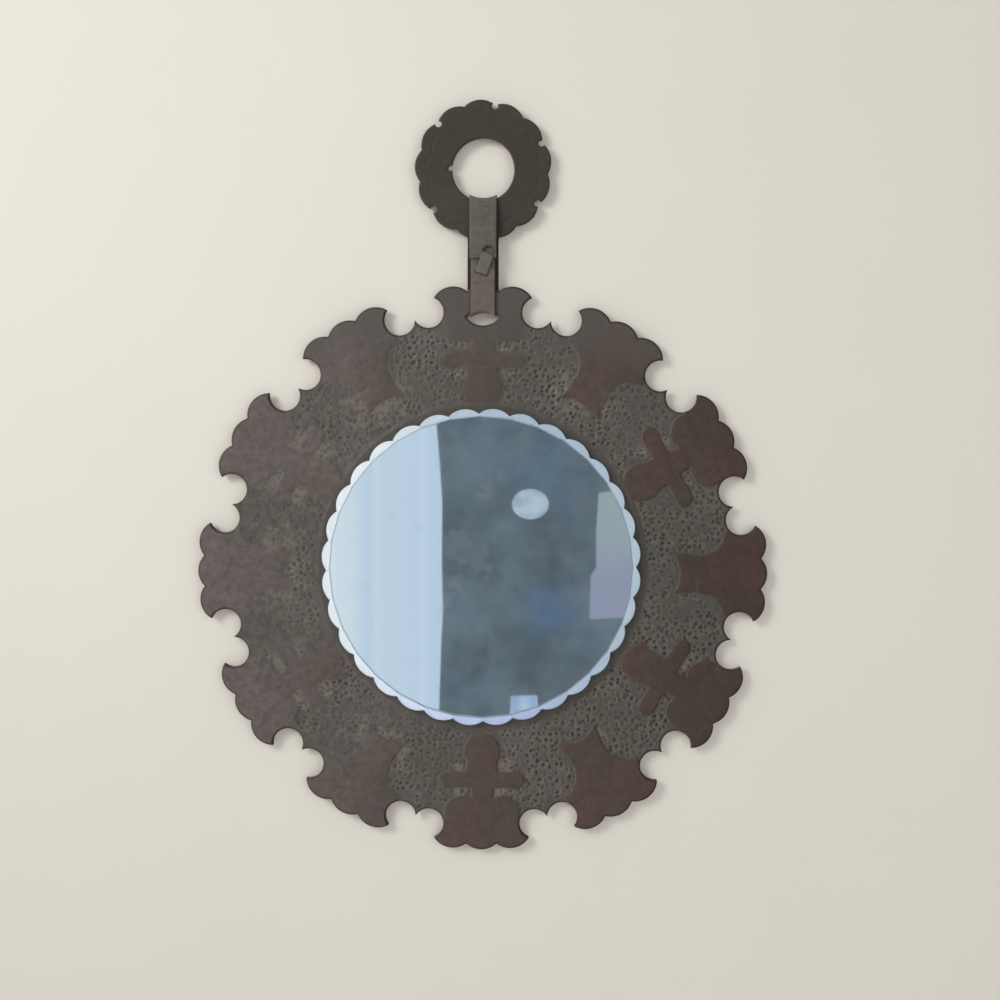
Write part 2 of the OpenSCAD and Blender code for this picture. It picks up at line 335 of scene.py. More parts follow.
def mesh_object(
    name: str, places: Array, faces: Array, masks: dict[str, Array]
) -> bpy.types.Object:
    """Puts arrays of places and triangles into a new mesh object.

    Args:
        name: Name of the object.
        places: One row of x, y, z in metres for each vertex.
        faces: One row of three vertex numbers for each triangle.
        masks: Named values for each vertex.

    Returns:
        The object, smooth except where its faces meet at more than the sharp angle.
    """
    mesh = bpy.data.meshes.new(name)
    mesh.vertices.add(len(places))
    mesh.vertices.foreach_set("co", places.astype(np.float32).ravel())
    mesh.loops.add(faces.size)
    mesh.loops.foreach_set("vertex_index", faces.astype(np.int32).ravel())
    mesh.polygons.add(len(faces))
    mesh.polygons.foreach_set("loop_start", np.arange(0, faces.size, 3, dtype=np.int32))
    mesh.polygons.foreach_set("use_smooth", np.ones(len(faces), dtype=bool))
    mesh.update(calc_edges=True)
    mesh.validate()
    for key, values in masks.items():
        layer = mesh.attributes.new(key, "FLOAT", "POINT")
        layer.data.foreach_set("value", values.astype(np.float32))
    mesh.set_sharp_from_angle(angle=math.radians(SHARP_ANGLE))
    obj = bpy.data.objects.new(name, mesh)
    bpy.context.scene.collection.objects.link(obj)
    return obj


# Help with shader nodes


class Board:
    """Nodes of one tree, added and joined by name.

    Where an argument is an object, it is a plain value or another node's output.
    """

    def __init__(self, tree: bpy.types.NodeTree) -> None:
        """Takes a node tree to work on."""
        self.tree = tree

    def node(
        self, kind: str, settings: dict | None = None, inputs: dict | None = None
    ) -> bpy.types.Node:
        """Adds a node.

        Args:
            kind: Blender's name of the node type.
            settings: Properties of the node.
            inputs: Socket name or number to a value or to another node's output.

        Returns:
            The new node.
        """
        made = self.tree.nodes.new(kind)
        for key, value in (settings or {}).items():
            setattr(made, key, value)
        for key, value in (inputs or {}).items():
            self.feed(made.inputs[key], value)
        return made

    def feed(self, socket: Socket, value: object) -> None:
        """Links an output to a socket, or writes a plain value on it.

        Args:
            socket: The socket.
            value: The output or the value.
        """
        if isinstance(value, Socket):
            self.tree.links.new(value, socket)
        elif isinstance(value, tuple) and len(value) == 3 and socket.type == "RGBA":
            socket.default_value = (*value, 1.0)
        else:
            socket.default_value = value

    def math(self, operation: str, a: object, b: object = 0.0, c: object = 0.0) -> Socket:
        """A Math node's result."""
        return self.node("ShaderNodeMath", {"operation": operation}, {0: a, 1: b, 2: c}).outputs[0]

    def times(self, a: object, b: object) -> Socket:
        """The product a b."""
        return self.math("MULTIPLY", a, b)

    def plus(self, a: object, b: object) -> Socket:
        """The sum a + b."""
        return self.math("ADD", a, b)

    def minus(self, a: object, b: object) -> Socket:
        """The difference a - b."""
        return self.math("SUBTRACT", a, b)

    def times_plus(self, a: object, b: object, c: object) -> Socket:
        """The sum a b + c."""
        return self.math("MULTIPLY_ADD", a, b, c)

    def mix(self, factor: object, a: object, b: object, blend: str = "MIX") -> Socket:
        """A colour Mix node's result.

        Args:
            factor: 0 for a, 1 for b.
            a: The first colour.
            b: The second colour.
            blend: How b meets a.

        Returns:
            The colour.
        """
        inputs = {"Factor": factor, "A": a, "B": b}
        made = self.node("ShaderNodeMix", {"data_type": "RGBA", "blend_type": blend}, inputs)
        return made.outputs["Result"]

    def stain(self, factor: object, a: object, b: object) -> Socket:
        """Colour a, multiplied by colour b as far as the factor says."""
        return self.mix(factor, a, b, "MULTIPLY")

    def ramp(self, value: object, low: float, high: float) -> Socket:
        """A mask that rises from 0 at low to 1 at high.

        Args:
            value: What it goes by.
            low: Where it is 0.
            high: Where it is 1; it may lie below low.

        Returns:
            The mask.
        """
        inputs = {"Value": value, "From Min": low, "From Max": high}
        made = self.node("ShaderNodeMapRange", {"interpolation_type": "SMOOTHSTEP"}, inputs)
        return made.outputs["Result"]

    def noise(
        self, vector: object, scale: object, detail: float = 3.0, rough: float = 0.5
    ) -> Socket:
        """A Noise Texture's value."""
        inputs = {"Vector": vector, "Scale": scale, "Detail": detail, "Roughness": rough}
        return self.node("ShaderNodeTexNoise", None, inputs).outputs["Fac"]

    def attribute(self, name: str) -> Socket:
        """A mask stored on the mesh."""
        return self.node("ShaderNodeAttribute", {"attribute_name": name}).outputs["Fac"]

    def axes(self, vector: Socket) -> bpy.types.bpy_prop_collection:
        """The X, Y and Z of a vector, by name."""
        return self.node("ShaderNodeSeparateXYZ", None, {0: vector}).outputs

    def group(self, tree: bpy.types.NodeTree, inputs: dict) -> bpy.types.Node:
        """Places a shared node group with its own values."""
        return self.node("ShaderNodeGroup", {"node_tree": tree}, inputs)

    def bump(self, shader: bpy.types.Node, height: object, distance: float, strength: float) -> None:
        """Gives a shader its normal from a height.

        Args:
            shader: The shader.
            height: The height, without a unit.
            distance: How far a height of 1 stands out, in metres.
            strength: How much of it shows.
        """
        inputs = {"Height": height, "Distance": distance, "Strength": strength}
        made = self.node("ShaderNodeBump", None, inputs)
        self.feed(shader.inputs["Normal"], made.outputs["Normal"])


def new_group(
    name: str, inputs: dict[str, tuple[str, object]], outputs: dict[str, str]
) -> tuple[Board, bpy.types.Node, bpy.types.Node]:
    """Starts a node group with named sockets.

    Args:
        name: Name of the group.
        inputs: Socket name to its type (Float, Color or Vector) and first value.
        outputs: Socket name to its type.

    Returns:
        The board, the group's input node and its output node.
    """
    tree = bpy.data.node_groups.new(name, "ShaderNodeTree")
    for key, (kind, value) in inputs.items():
        socket = tree.interface.new_socket(key, in_out="INPUT", socket_type="NodeSocket" + kind)
        if value is not None:
            socket.default_value = (*value, 1.0) if kind == "Color" else value
    for key, kind in outputs.items():
        tree.interface.new_socket(key, in_out="OUTPUT", socket_type="NodeSocket" + kind)
    board = Board(tree)
    return board, board.node("NodeGroupInput"), board.node("NodeGroupOutput")


def bare_nodes(owner: bpy.types.ID) -> tuple[bpy.types.ID, Board]:
    """Empties the nodes of a material or a world.

    Args:
        owner: The material or the world.

    Returns:
        The owner, and the board of its nodes.
    """
    owner.use_nodes = True
    owner.node_tree.nodes.clear()
    return owner, Board(owner.node_tree)


class Effects:
    """The effects that several finishes share, each one node group built once."""

    @staticmethod
    @cache
    def hide_grain() -> bpy.types.NodeTree:
        """Pebbled grain of hide: cells of two sizes with pores between them.

        Returns:
            A group with Height, which has no unit, and Fleck, a mask from 0 to 1.
        """
        board, start, end = new_group(
            "hide_grain",
            {"Vector": ("Vector", None), "Scale": ("Float", 900.0), "Creases": ("Float", 0.4)},
            {"Height": "Float", "Fleck": "Float"},
        )
        vector, scale = start.outputs["Vector"], start.outputs["Scale"]
        cells = board.node(
            "ShaderNodeTexVoronoi", None, {"Vector": vector, "Scale": scale, "Randomness": 1.0}
        )
        fine = board.noise(vector, board.times(scale, 2.2), 4.0, 0.6)
        long = board.noise(vector, board.times(scale, 0.12), 2.0, 0.5)
        crease = board.ramp(board.math("ABSOLUTE", board.minus(long, 0.5)), 0.0, 0.045)
        crease = board.times(board.minus(1.0, crease), start.outputs["Creases"])
        height = board.plus(board.times(cells.outputs["Distance"], -0.55), fine)
        board.feed(end.inputs["Height"], board.minus(height, crease))
        board.feed(end.inputs["Fleck"], board.ramp(fine, 0.52, 0.72))
        return board.tree

    @staticmethod
    @cache
    def uneven_dye() -> bpy.types.NodeTree:
        """Dye that took unevenly: broad clouds and small blotches over one colour.

        Returns:
            A group with Color.
        """
        board, start, end = new_group(
            "uneven_dye",
            {
                "Vector": ("Vector", None),
                "Color": ("Color", (0.1, 0.08, 0.07)),
                "Cloud Color": ("Color", (0.15, 0.13, 0.12)),
                "Clouds": ("Float", 0.5),
                "Blotches": ("Float", 0.3),
            },
            {"Color": "Color"},
        )
        given = start.outputs
        cloud = board.ramp(board.noise(given["Vector"], 13.0, 4.0, 0.55), 0.42, 0.7)
        colour = board.mix(
            board.times(cloud, given["Clouds"]), given["Color"], given["Cloud Color"]
        )
        blotch = board.minus(board.noise(given["Vector"], 160.0, 5.0, 0.62), 0.5)
        blotch = board.times_plus(blotch, board.times(given["Blotches"], 2.0), 1.0)
        tint = board.node("ShaderNodeCombineColor", None, {0: blotch, 1: blotch, 2: blotch})
        board.feed(end.inputs["Color"], board.stain(1.0, colour, tint.outputs[0]))
        return board.tree

    @staticmethod
    @cache
    def worn_edge() -> bpy.types.NodeTree:
        """A cut edge rubbed smooth: its own colour, broken up where it meets the face.

        Returns:
            A group with Color; on the panel its dark band also paints the shade of the rounded edge.
        """
        board, start, end = new_group(
            "worn_edge",
            {
                "Vector": ("Vector", None),
                "Color": ("Color", (0.1, 0.08, 0.07)),
                "Edge Color": ("Color", (0.05, 0.03, 0.02)),
                "Edge": ("Float", 0.0),
                "Reach": ("Float", 0.5),
            },
            {"Color": "Color"},
        )
        given = start.outputs
        rough = board.times(board.minus(board.noise(given["Vector"], 420.0, 3.0), 0.5), 0.9)
        mask = board.plus(board.plus(given["Edge"], rough), board.minus(given["Reach"], 0.5))
        worn = board.mix(board.ramp(mask, 0.55, 1.05), given["Color"], given["Edge Color"])
        board.feed(end.inputs["Color"], worn)
        return board.tree


# Finishes


def new_material(name: str) -> tuple[bpy.types.Material, Board, bpy.types.Node, Socket]:
    """Starts a material.

    Args:
        name: Name of the material.

    Returns:
        The material, the board of its nodes, its Principled shader and the object
        coordinates.
    """
    mat = bpy.data.materials.new(name)
    mat.use_nodes = True
    board = Board(mat.node_tree)
    vector = board.node("ShaderNodeTexCoord").outputs["Object"]
    return mat, board, mat.node_tree.nodes["Principled BSDF"], vector


@dataclass(frozen=True)
class LeatherFinish:
    """Dyed leather: its dye, its cut edge, its flesh side and its grain.

    Leather with carved figures has their colour too. There a strength from 0 to 1 sets how far
    the left is paler, partly faded dye and partly a painted sheen of the light from the left;
    the right darker, partly deeper dye and partly painted shade; and the top greyer.
    """

    name: str
    dye: Rgb
    cloud: Rgb
    edge: Rgb
    flesh: Rgb
    figure: Rgb | None = None
    warm: Rgb = (0.1, 0.05, 0.04)
    bare: Rgb = (0.2, 0.15, 0.13)
    # Colours of the paler left: partly faded dye, partly a painted sheen of the light from the left.
    faded_and_sheen: Rgb = (0.103, 0.083, 0.075)
    faded_and_sheen_cloud: Rgb = (0.122, 0.1, 0.09)
    top_grey: Rgb = (0.074, 0.067, 0.057)
    fade_and_side_light: float = 0.0
    edge_reach: float = 0.5
    clouds: float = 0.6
    blotches: float = 0.35
    grain_scale: float = 900.0
    grain_depth: float = 0.0006
    creases: float = 0.4
    rough: float = 0.55
    specular: float = 0.4

    def make(self) -> bpy.types.Material:
        """Builds the material.

        Returns:
            Dye, then figures, pits, rims, bare spots and edges from the mesh's masks,
            with grain in the normal and the roughness.
        """
        mat, board, shader, vector = new_material(self.name)
        dyed = self.dyed(board, vector, (self.dye, self.cloud), self.clouds, self.blotches)
        colour = dyed.outputs["Color"]
        if self.figure is not None:
            colour = self.carved(board, vector, dyed)
        # Paler along the rim mask: on the panel a painted highlight on the ridges and rims of the punch
        # marks; on the ring, paler scratches and stamped arcs.
        colour = board.stain(board.times(board.attribute("rim"), 0.8), colour, (1.8, 1.77, 1.66))
        # Darker along the groove mask: painted shade in the hollows beside the figures, round the glass
        # seat, along the ring's stamped arcs and in the strap's creases and dents.
        groove = board.times(board.attribute("groove"), 0.5)
        edge = board.group(
            Effects.worn_edge(),
            {
                "Vector": vector,
                "Color": board.stain(groove, colour, (0.45, 0.42, 0.4)),
                "Edge Color": self.edge,
                "Edge": board.attribute("edge"),
                "Reach": self.edge_reach,
            },
        )
        side = board.ramp(board.attribute("flesh"), 0.6, 1.0)
        skin = board.mix(side, edge.outputs["Color"], self.nap(board, vector))
        board.feed(shader.inputs["Base Color"], skin)
        grain = board.group(
            Effects.hide_grain(),
            {"Vector": vector, "Scale": self.grain_scale, "Creases": self.creases},
        )
        gloss = board.times_plus(grain.outputs["Fleck"], 0.14, self.rough - 0.05)
        gloss = board.times_plus(board.noise(vector, 30.0), 0.16, board.minus(gloss, 0.08))
        gloss = board.math("MAXIMUM", gloss, board.times(side, 0.95))
        board.feed(shader.inputs["Roughness"], gloss)
        board.bump(shader, grain.outputs["Height"], self.grain_depth, 0.35)
        shader.inputs["Specular IOR Level"].default_value = self.specular
        return mat

    def dyed(
        self, board: Board, vector: Socket, colours: tuple[Rgb, Rgb], clouds: float, blotches: float
    ) -> bpy.types.Node:
        """Places the uneven dye.

        Args:
            board: The material's nodes.
            vector: The object coordinates.
            colours: The dye and its clouds.
            clouds: How much of the clouds shows.
            blotches: How strong the small blotches are.

        Returns:
            The group's node.
        """
        dye, cloud = colours
        values = {"Color": dye, "Cloud Color": cloud, "Clouds": clouds, "Blotches": blotches}
        return board.group(Effects.uneven_dye(), {"Vector": vector, **values})

    def carved(self, board: Board, vector: Socket, dyed: bpy.types.Node) -> Socket:
        """Colour of the carved side: figures on the ground, bare spots and pits.

        Args:
            board: The material's nodes.
            vector: The object coordinates.
            dyed: The ground's dye, whose blotches grow where it is paler.

        Returns:
            The colour.
        """
        figure = self.dyed(board, vector, (self.figure, self.warm), 0.9, 0.5).outputs[0]
        faded_and_sheen = self.dyed(board, vector, (self.faded_and_sheen, self.faded_and_sheen_cloud), 0.8, 0.75).outputs[0]
        axes = board.axes(vector)
        # Paler to the left: partly faded dye, partly a painted sheen of the light from the left. Darker
        # and warmer to the right: partly deeper dye, partly painted shade.
        patch = board.noise(vector, 9.0, 4.0)
        patch = board.times_plus(patch, 0.3, board.minus(axes["X"], 0.15))
        pale = board.times(board.ramp(patch, 0.02, -0.22), self.fade_and_side_light)
        deep = board.times(board.ramp(patch, 0.06, 0.25), self.fade_and_side_light)
        board.feed(dyed.inputs["Blotches"], board.times_plus(pale, 0.6, self.blotches))
        figure = board.mix(pale, figure, faded_and_sheen)
        figure = board.stain(deep, figure, (0.72, 0.6, 0.5))
        # Greyer towards the top.
        top = board.times_plus(board.noise(vector, 22.0, 4.0), 0.09, axes["Z"])
        top = board.times(board.ramp(top, -0.155, -0.085), 0.85 * self.fade_and_side_light)
        figure = board.mix(top, figure, self.top_grey)
        # The ground is darkened on the left, painted shade that offsets the world's sheen there, and on
        # the right, painted shade.
        ground = board.stain(board.times(pale, 0.6), dyed.outputs["Color"], (0.9, 0.9, 0.88))
        ground = board.stain(board.times(deep, 0.5), ground, (0.84, 0.84, 0.82))
        speck = board.minus(board.noise(vector, 75.0, 5.0, 0.62), 0.5)
        speck = board.times(speck, board.times_plus(pale, 2.4, 0.3))
        colour = board.mix(board.plus(board.attribute("figure"), speck), ground, figure)
        rubbed = board.ramp(board.noise(vector, 300.0), 0.3, 0.62)
        rubbed = board.times(board.attribute("bare"), rubbed)
        colour = board.mix(board.times(rubbed, 0.85), colour, self.bare)
        # Punch marks darkened: painted shade in their hollows.
        return board.stain(board.times(board.attribute("pit"), 0.95), colour, (0.3, 0.28, 0.26))

    def nap(self, board: Board, vector: Socket) -> Socket:
        """Colour of the flesh side: fine nap, dark stains and paler fibres.

        Args:
            board: The material's nodes.
            vector: The object coordinates.

        Returns:
            The colour.
        """
        nap = board.times(board.noise(vector, 700.0, 6.0, 0.7), 0.8)
        flesh = board.mix(nap, self.flesh, tuple(c * 0.45 for c in self.flesh))
        stain = board.ramp(board.noise(vector, 11.0, 6.0, 0.62), 0.36, 0.68)
        flesh = board.stain(board.times(stain, 0.6), flesh, (0.62, 0.58, 0.56))
        fibre = board.ramp(board.noise(vector, 90.0, 5.0, 0.68), 0.4, 0.66)
        return board.stain(board.times(fibre, 0.35), flesh, (1.45, 1.45, 1.45))


@dataclass(frozen=True)
class GlassFinish:
    """Clear polished glass whose facets, and still more its rim, are left frosted."""

    name: str
    tint: Rgb = (0.9, 0.95, 0.97)
    index: float = 1.5
    facet_frost: float = 0.36
    rim_frost: float = 0.3
    haze: float = 0.012

    def make(self) -> bpy.types.Material:
        """Builds the material.

        Returns:
            Glass whose roughness grows with the slope of its faces.
        """
        mat, board, shader, vector = new_material(self.name)
        normal = board.axes(vector.node.outputs["Normal"])
        facing = board.math("ABSOLUTE", normal["Y"])
        rim = board.times(board.ramp(facing, 0.6, 0.3), self.rim_frost)
        facet = board.times(board.ramp(facing, 0.99, 0.975), self.facet_frost)
        haze = board.ramp(board.noise(vector, 24.0, 5.0, 0.6), 0.5, 0.8)
        frost = board.times_plus(haze, self.haze, board.plus(rim, facet))
        shader.inputs["Base Color"].default_value = (*self.tint, 1.0)
        shader.inputs["Transmission Weight"].default_value = 1.0
        shader.inputs["IOR"].default_value = self.index
        board.feed(shader.inputs["Roughness"], frost)
        board.bump(shader, board.noise(vector, 9.0, 1.0), 0.0002, 0.1)
        return mat


@dataclass(frozen=True)
class SilverFinish:
    """Silver behind glass, with a little darkening."""

    name: str
    silver: Rgb = (0.9, 0.93, 0.96)
    dull: Rgb = (0.45, 0.5, 0.55)

    def make(self) -> bpy.types.Material:
        """Builds the material.

        Returns:
            Metal with faint clouds.
        """
        mat, board, shader, vector = new_material(self.name)
        age = board.times(board.ramp(board.noise(vector, 40.0, 6.0, 0.7), 0.55, 0.85), 0.2)
        board.feed(shader.inputs["Base Color"], board.mix(age, self.silver, self.dull))
        shader.inputs["Metallic"].default_value = 1.0
        board.feed(shader.inputs["Roughness"], board.times_plus(age, 0.1, 0.02))
        return mat


@dataclass(frozen=True)
class PlainFinish:
    """Putty, plaster or paint: one colour with fine unevenness."""

    name: str
    colour: Rgb
    rough: float
    spread: float
    scale: float

    def make(self) -> bpy.types.Material:
        """Builds the material.

        Returns:
            The colour, darkened here and there by noise, with a slight bump.
        """
        mat, board, shader, vector = new_material(self.name)
        dark = tuple(c * (1 - self.spread) for c in self.colour)
        noise = board.noise(vector, self.scale, 4.0)
        board.feed(shader.inputs["Base Color"], board.mix(noise, self.colour, dark))
        board.feed(shader.inputs["Roughness"], board.times_plus(noise, 0.1, self.rough))
        board.bump(shader, noise, 0.0004, 0.3)
        return mat


class Finish(Enum):
    """The finishes of this mirror."""

    PANEL = LeatherFinish(
        "panel_leather",
        dye=(0.078, 0.073, 0.06),
        cloud=(0.11, 0.095, 0.086),
        edge=(0.03, 0.017, 0.01),
        flesh=(0.2, 0.13, 0.085),
        figure=(0.068, 0.049, 0.037),
        warm=(0.086, 0.047, 0.037),
        bare=(0.19, 0.162, 0.142),
        fade_and_side_light=0.95,
        edge_reach=0.75,
    )
    RING = LeatherFinish(
        "ring_leather",
        dye=(0.039, 0.036, 0.0255),
        cloud=(0.052, 0.048, 0.035),
        edge=(0.06, 0.03, 0.017),
        flesh=(0.14, 0.09, 0.06),
        blotches=0.25,
        rough=0.6,
        specular=0.25,
    )
    STRAP = LeatherFinish(
        "strap_leather",
        dye=(0.1, 0.095, 0.078),
        cloud=(0.13, 0.115, 0.094),
        edge=(0.06, 0.05, 0.04),
        flesh=(0.06, 0.046, 0.036),
        figure=(0.128, 0.108, 0.088),
        blotches=0.5,
        warm=(0.135, 0.105, 0.085),
        grain_scale=1300.0,
        creases=0.7,
        clouds=0.8,
        rough=0.6,
        specular=0.3,
    )
    LACE = LeatherFinish(
        "lace_leather",
        dye=(0.14, 0.125, 0.1),
        cloud=(0.16, 0.138, 0.112),
        edge=(0.13, 0.115, 0.094),
        flesh=(0.1, 0.07, 0.05),
        grain_scale=1500.0,
        clouds=0.7,
        rough=0.62,
        specular=0.3,
    )
    GLASS = GlassFinish("bevelled_glass")
    SILVER = SilverFinish("silvering")
    MASTIC = PlainFinish("mastic", (0.6, 0.57, 0.5), 0.75, 0.2, 90.0)

    @cache
    def make(self) -> bpy.types.Material:
        """Builds this finish's material once."""
        return self.value.make()


def dress(obj: bpy.types.Object, kind: Finish) -> None:
    """Puts one finish on all of an object's slots.

    Args:
        obj: The piece.
        kind: The finish.
    """
    if not obj.material_slots:
        obj.data.materials.append(None)
    for place in obj.material_slots:
        place.material = kind.make()


def finish(obj: bpy.types.Object, kind: Finish) -> None:
    """Gives a new piece its finish.

    Args:
        obj: The piece.
        kind: The finish.
    """
    dress(obj, kind)


# The panel


@dataclass
class Stipple:
    """The ground beaten with a small round punch, in rows that wander."""

    pitch: float = 5.7
    wander: float = 0.4
    warp: float = 1.1
    warp_cell: float = 4.5
    pit_r: float = 2.1
    pit_depth: float = 0.6
    ridge_w: float = 1.1
    ridge_height: float = 0.24
    rim_w: float = 0.6

    def nearest(self, u: Array, v: Array) -> tuple[Array, Array, Array, Array]:
        """The nearest punch mark of every point.

        Marks stand on a lattice of triangles, each moved by a fixed random step, and
        the leather between them is drawn about by noise, so none is quite round.

        Args:
            u: Points to the right, in mm.
            v: Points upwards, in mm.

        Returns:
            Distance to the mark, how much farther the second mark is, and the first
            mark's two coordinates.
        """
        tall = self.pitch * math.sqrt(3) / 2
        pull_u = self.warp * value_noise(u, v, self.warp_cell, seed=13)
        pull_v = self.warp * value_noise(u, v, self.warp_cell, seed=14)
        u, v = u + pull_u, v + pull_v
        row0 = np.floor(v / tall)
        best, second = np.full(u.shape, np.inf), np.full(u.shape, np.inf)
        best_u, best_v = np.zeros(u.shape), np.zeros(u.shape)
        for dr in (-1, 0, 1):
            row = row0 + dr
            shift = 0.5 * (np.abs(row) % 2)
            col0 = np.floor(u / self.pitch + shift)
            for dc in (-1, 0, 1):
                col = col0 + dc
                step_u = self.wander * (2 * lattice_hash(col, row, seed=5) - 1)
                step_v = self.wander * (2 * lattice_hash(col, row, seed=9) - 1)
                mu = (col + 0.5 - shift + step_u) * self.pitch
                mv = (row + 0.5 + step_v) * tall
                far = np.hypot(u - mu, v - mv)
                near = far < best
                second = np.where(near, best, np.minimum(second, far))
                best = np.where(near, far, best)
                best_u, best_v = np.where(near, mu, best_u), np.where(near, mv, best_v)
        return best, second - best, best_u, best_v

    def bowl(self, far: Array) -> Array:
        """Depth of a mark from 0 to 1, by the distance to its middle."""
        return 1 - smooth(far, 0.2 * self.pit_r, 1.15 * self.pit_r)

    def ridge(self, spare: Array) -> Array:
        """Ridge raised half way between two marks: exp(-(spare / width)^2)."""
        return bell(spare / self.ridge_w)

    def rim(self, far: Array) -> Array:
        """Rim pushed up round a mark: exp(-((distance - 1.3 r) / width)^2)."""
        # Only the colour uses this rim: a painted highlight.
        return bell((far - 1.3 * self.pit_r) / self.rim_w)


@dataclass
class TooledPanel:
    """The lobed, carved and stippled panel, in the panel's own plane.

    An inset is a distance inwards from a lobe's crest. Tall figures have a neck,
    shoulders, waist, arms, stem and head; short ones a waist between two cuts and a
    flared end.
    """

    centre_z: float = -372.5
    panel_r: float = 268.0
    thickness: float = 4.6
    scallop_r: float = 21.0
    lobes: int = 12
    crest_angle: float = 6.35
    bite_r: float = 14.25
    bite_ring_r: float = 247.5
    bite_offset: float = 13.8
    relief_depth: float = 0.8
    neck_inset: float = 31.0
    shoulder_r: float = 17.0
    shoulder_x: float = 19.0
    shoulder_inset: float = 35.0
    waist_w: float = 21.0
    arm_span: float = 82.0
    arm_w: float = 15.0
    arm_inset: float = 68.5
    stem_w: float = 29.0
    head_r: float = 17.5
    head_inset: float = 96.0
    side_cut_r: float = 24.7
    side_cut_inset: float = 65.6
    short_waist_w: float = 34.0
    short_end_w: float = 38.0
    short_end_inset: float = 88.0
    short_end_hollow: float = 5.5
    slot_w: float = 30.4
    slot_h: float = 14.25
    slot_mid: float = 237.875
    seat_r: float = 155.0
    seat_border: float = 5.0
    seat_at: tuple[float, float] = (-1.0, 4.0)
    inner_r: float = 138.0
    slices: int = 6
    lobe_columns: int = 140
    rows: int = 146
    margin: float = 1.4
    stipple: Stipple = field(default_factory=Stipple)

    def fold(self, u: Array, v: Array) -> tuple[Array, Array, Array]:
        """Turns every point into its own lobe: x beside the lobe's line, y along it.

        Args:
            u: Points to the right, in mm.
            v: Points upwards, in mm.

        Returns:
            The lobe's number from the top, x without its sign, and y.
        """
        step = 2 * math.pi / self.lobes
        angle = np.arctan2(u, v)
        lobe = np.round(angle / step)
        local = angle - lobe * step
        r = np.hypot(u, v)
        return np.mod(lobe, self.lobes), np.abs(r * np.sin(local)), r * np.cos(local)

    def outline(self, u: Array, v: Array) -> Array:
        """Distance inside the cut outline: scallops and disc, less bites and slot.

        Args:
            u: Points to the right, in mm.
            v: Points upwards, in mm.

        Returns:
            Distance in mm, above 0 inside the leather.
        """
        _, x, y = self.fold(u, v)
        side = math.radians(self.crest_angle)
        reach = self.panel_r - self.scallop_r
        crest = np.maximum(
            disc(x, y, 0.0, reach, self.scallop_r),
            disc(x, y, reach * math.sin(side), reach * math.cos(side), self.scallop_r),
        )
        d = np.maximum(crest, self.bite_ring_r - np.hypot(x, y))
        tooth = math.pi / self.lobes
        bx = self.bite_ring_r * math.sin(tooth) - self.bite_offset * math.cos(tooth)
        by = self.bite_ring_r * math.cos(tooth) + self.bite_offset * math.sin(tooth)
        d = np.minimum(d, -disc(x, y, bx, by, self.bite_r))
        r = lens_radius(self.slot_w, self.slot_h)
        lens = np.minimum(
            disc(u, v, 0.0, self.slot_mid + r - self.slot_h / 2, r),
            disc(u, v, 0.0, self.slot_mid - r + self.slot_h / 2, r),
        )
        return np.minimum(d, -lens)

    def seat(self, u: Array, v: Array) -> Array:
        """Distance inside the round, plain seat of the glass."""
        return disc(u, v, *self.seat_at, self.seat_r)

    def tall(self, x: Array, y: Array) -> Array:
        """Distance inside a tall figure: the greatest of those inside its parts.

        Args:
            x: Points beside the lobe's line, in mm.
            y: Points along it, in mm.

        Returns:
            Distance in mm, above 0 inside the figure.
        """
        neck, shoulder, arm, head = (
            self.panel_r - inset
            for inset in (self.neck_inset, self.shoulder_inset, self.arm_inset, self.head_inset)
        )
        half, reach = self.arm_w / 2, (self.arm_span - self.arm_w) / 2
        return np.maximum.reduce([
            disc(x, y, self.shoulder_x, shoulder, self.shoulder_r),
            block(x, y, self.shoulder_x, shoulder - self.shoulder_r / 2, neck + 0.5),
            block(x, y, self.waist_w / 2, arm, shoulder),
            block(x, y, reach, arm - half, arm + half),
            disc(x, y, reach, arm, half),
            block(x, y, self.stem_w / 2, head, arm),
            disc(x, y, 0.0, head, self.head_r),
        ])

    def short(self, x: Array, y: Array) -> Array:
        """Distance inside a short figure: flared column and cut block, less a hollow.

        Args:
            x: Points beside the lobe's line, in mm.
            y: Points along it, in mm.

        Returns:
            Distance in mm, above 0 inside the figure.
        """
        neck = self.panel_r - self.neck_inset + 0.5
        cut, end = self.panel_r - self.side_cut_inset, self.panel_r - self.short_end_inset
        half = self.short_waist_w / 2
        side = half + self.side_cut_r
        flare = (self.short_end_w / 2 - half) / (cut - end)
        column = np.minimum(half + (cut - y) * flare - x, np.minimum(y - end, cut + 0.5 - y))
        upper = np.minimum(block(x, y, side - 2, cut, neck), -disc(x, y, side, cut, self.side_cut_r))
        r = lens_radius(self.short_end_w, 2 * self.short_end_hollow)
        hollow = disc(x, y, 0.0, end + self.short_end_hollow - r, r)
        return np.minimum(np.maximum(column, upper), -hollow)

    def figures(self, u: Array, v: Array) -> Array:
        """Distance inside the carved figures.

        Tall and short ones take turns, and each fills its lobe beyond the neck. The
        knife wandered by up to a millimetre.

        Args:
            u: Points to the right, in mm.
            v: Points upwards, in mm.

        Returns:
            Distance in mm, above 0 on a figure.
        """
        lobe, x, y = self.fold(u, v)
        figure = np.where(np.mod(lobe, 2) < 0.5, self.tall(x, y), self.short(x, y))
        figure = np.maximum(y - (self.panel_r - self.neck_inset), figure)
        return figure + 0.7 * value_noise(u, v, 14.0, seed=6) + 0.35 * value_noise(u, v, 5.0, seed=7)

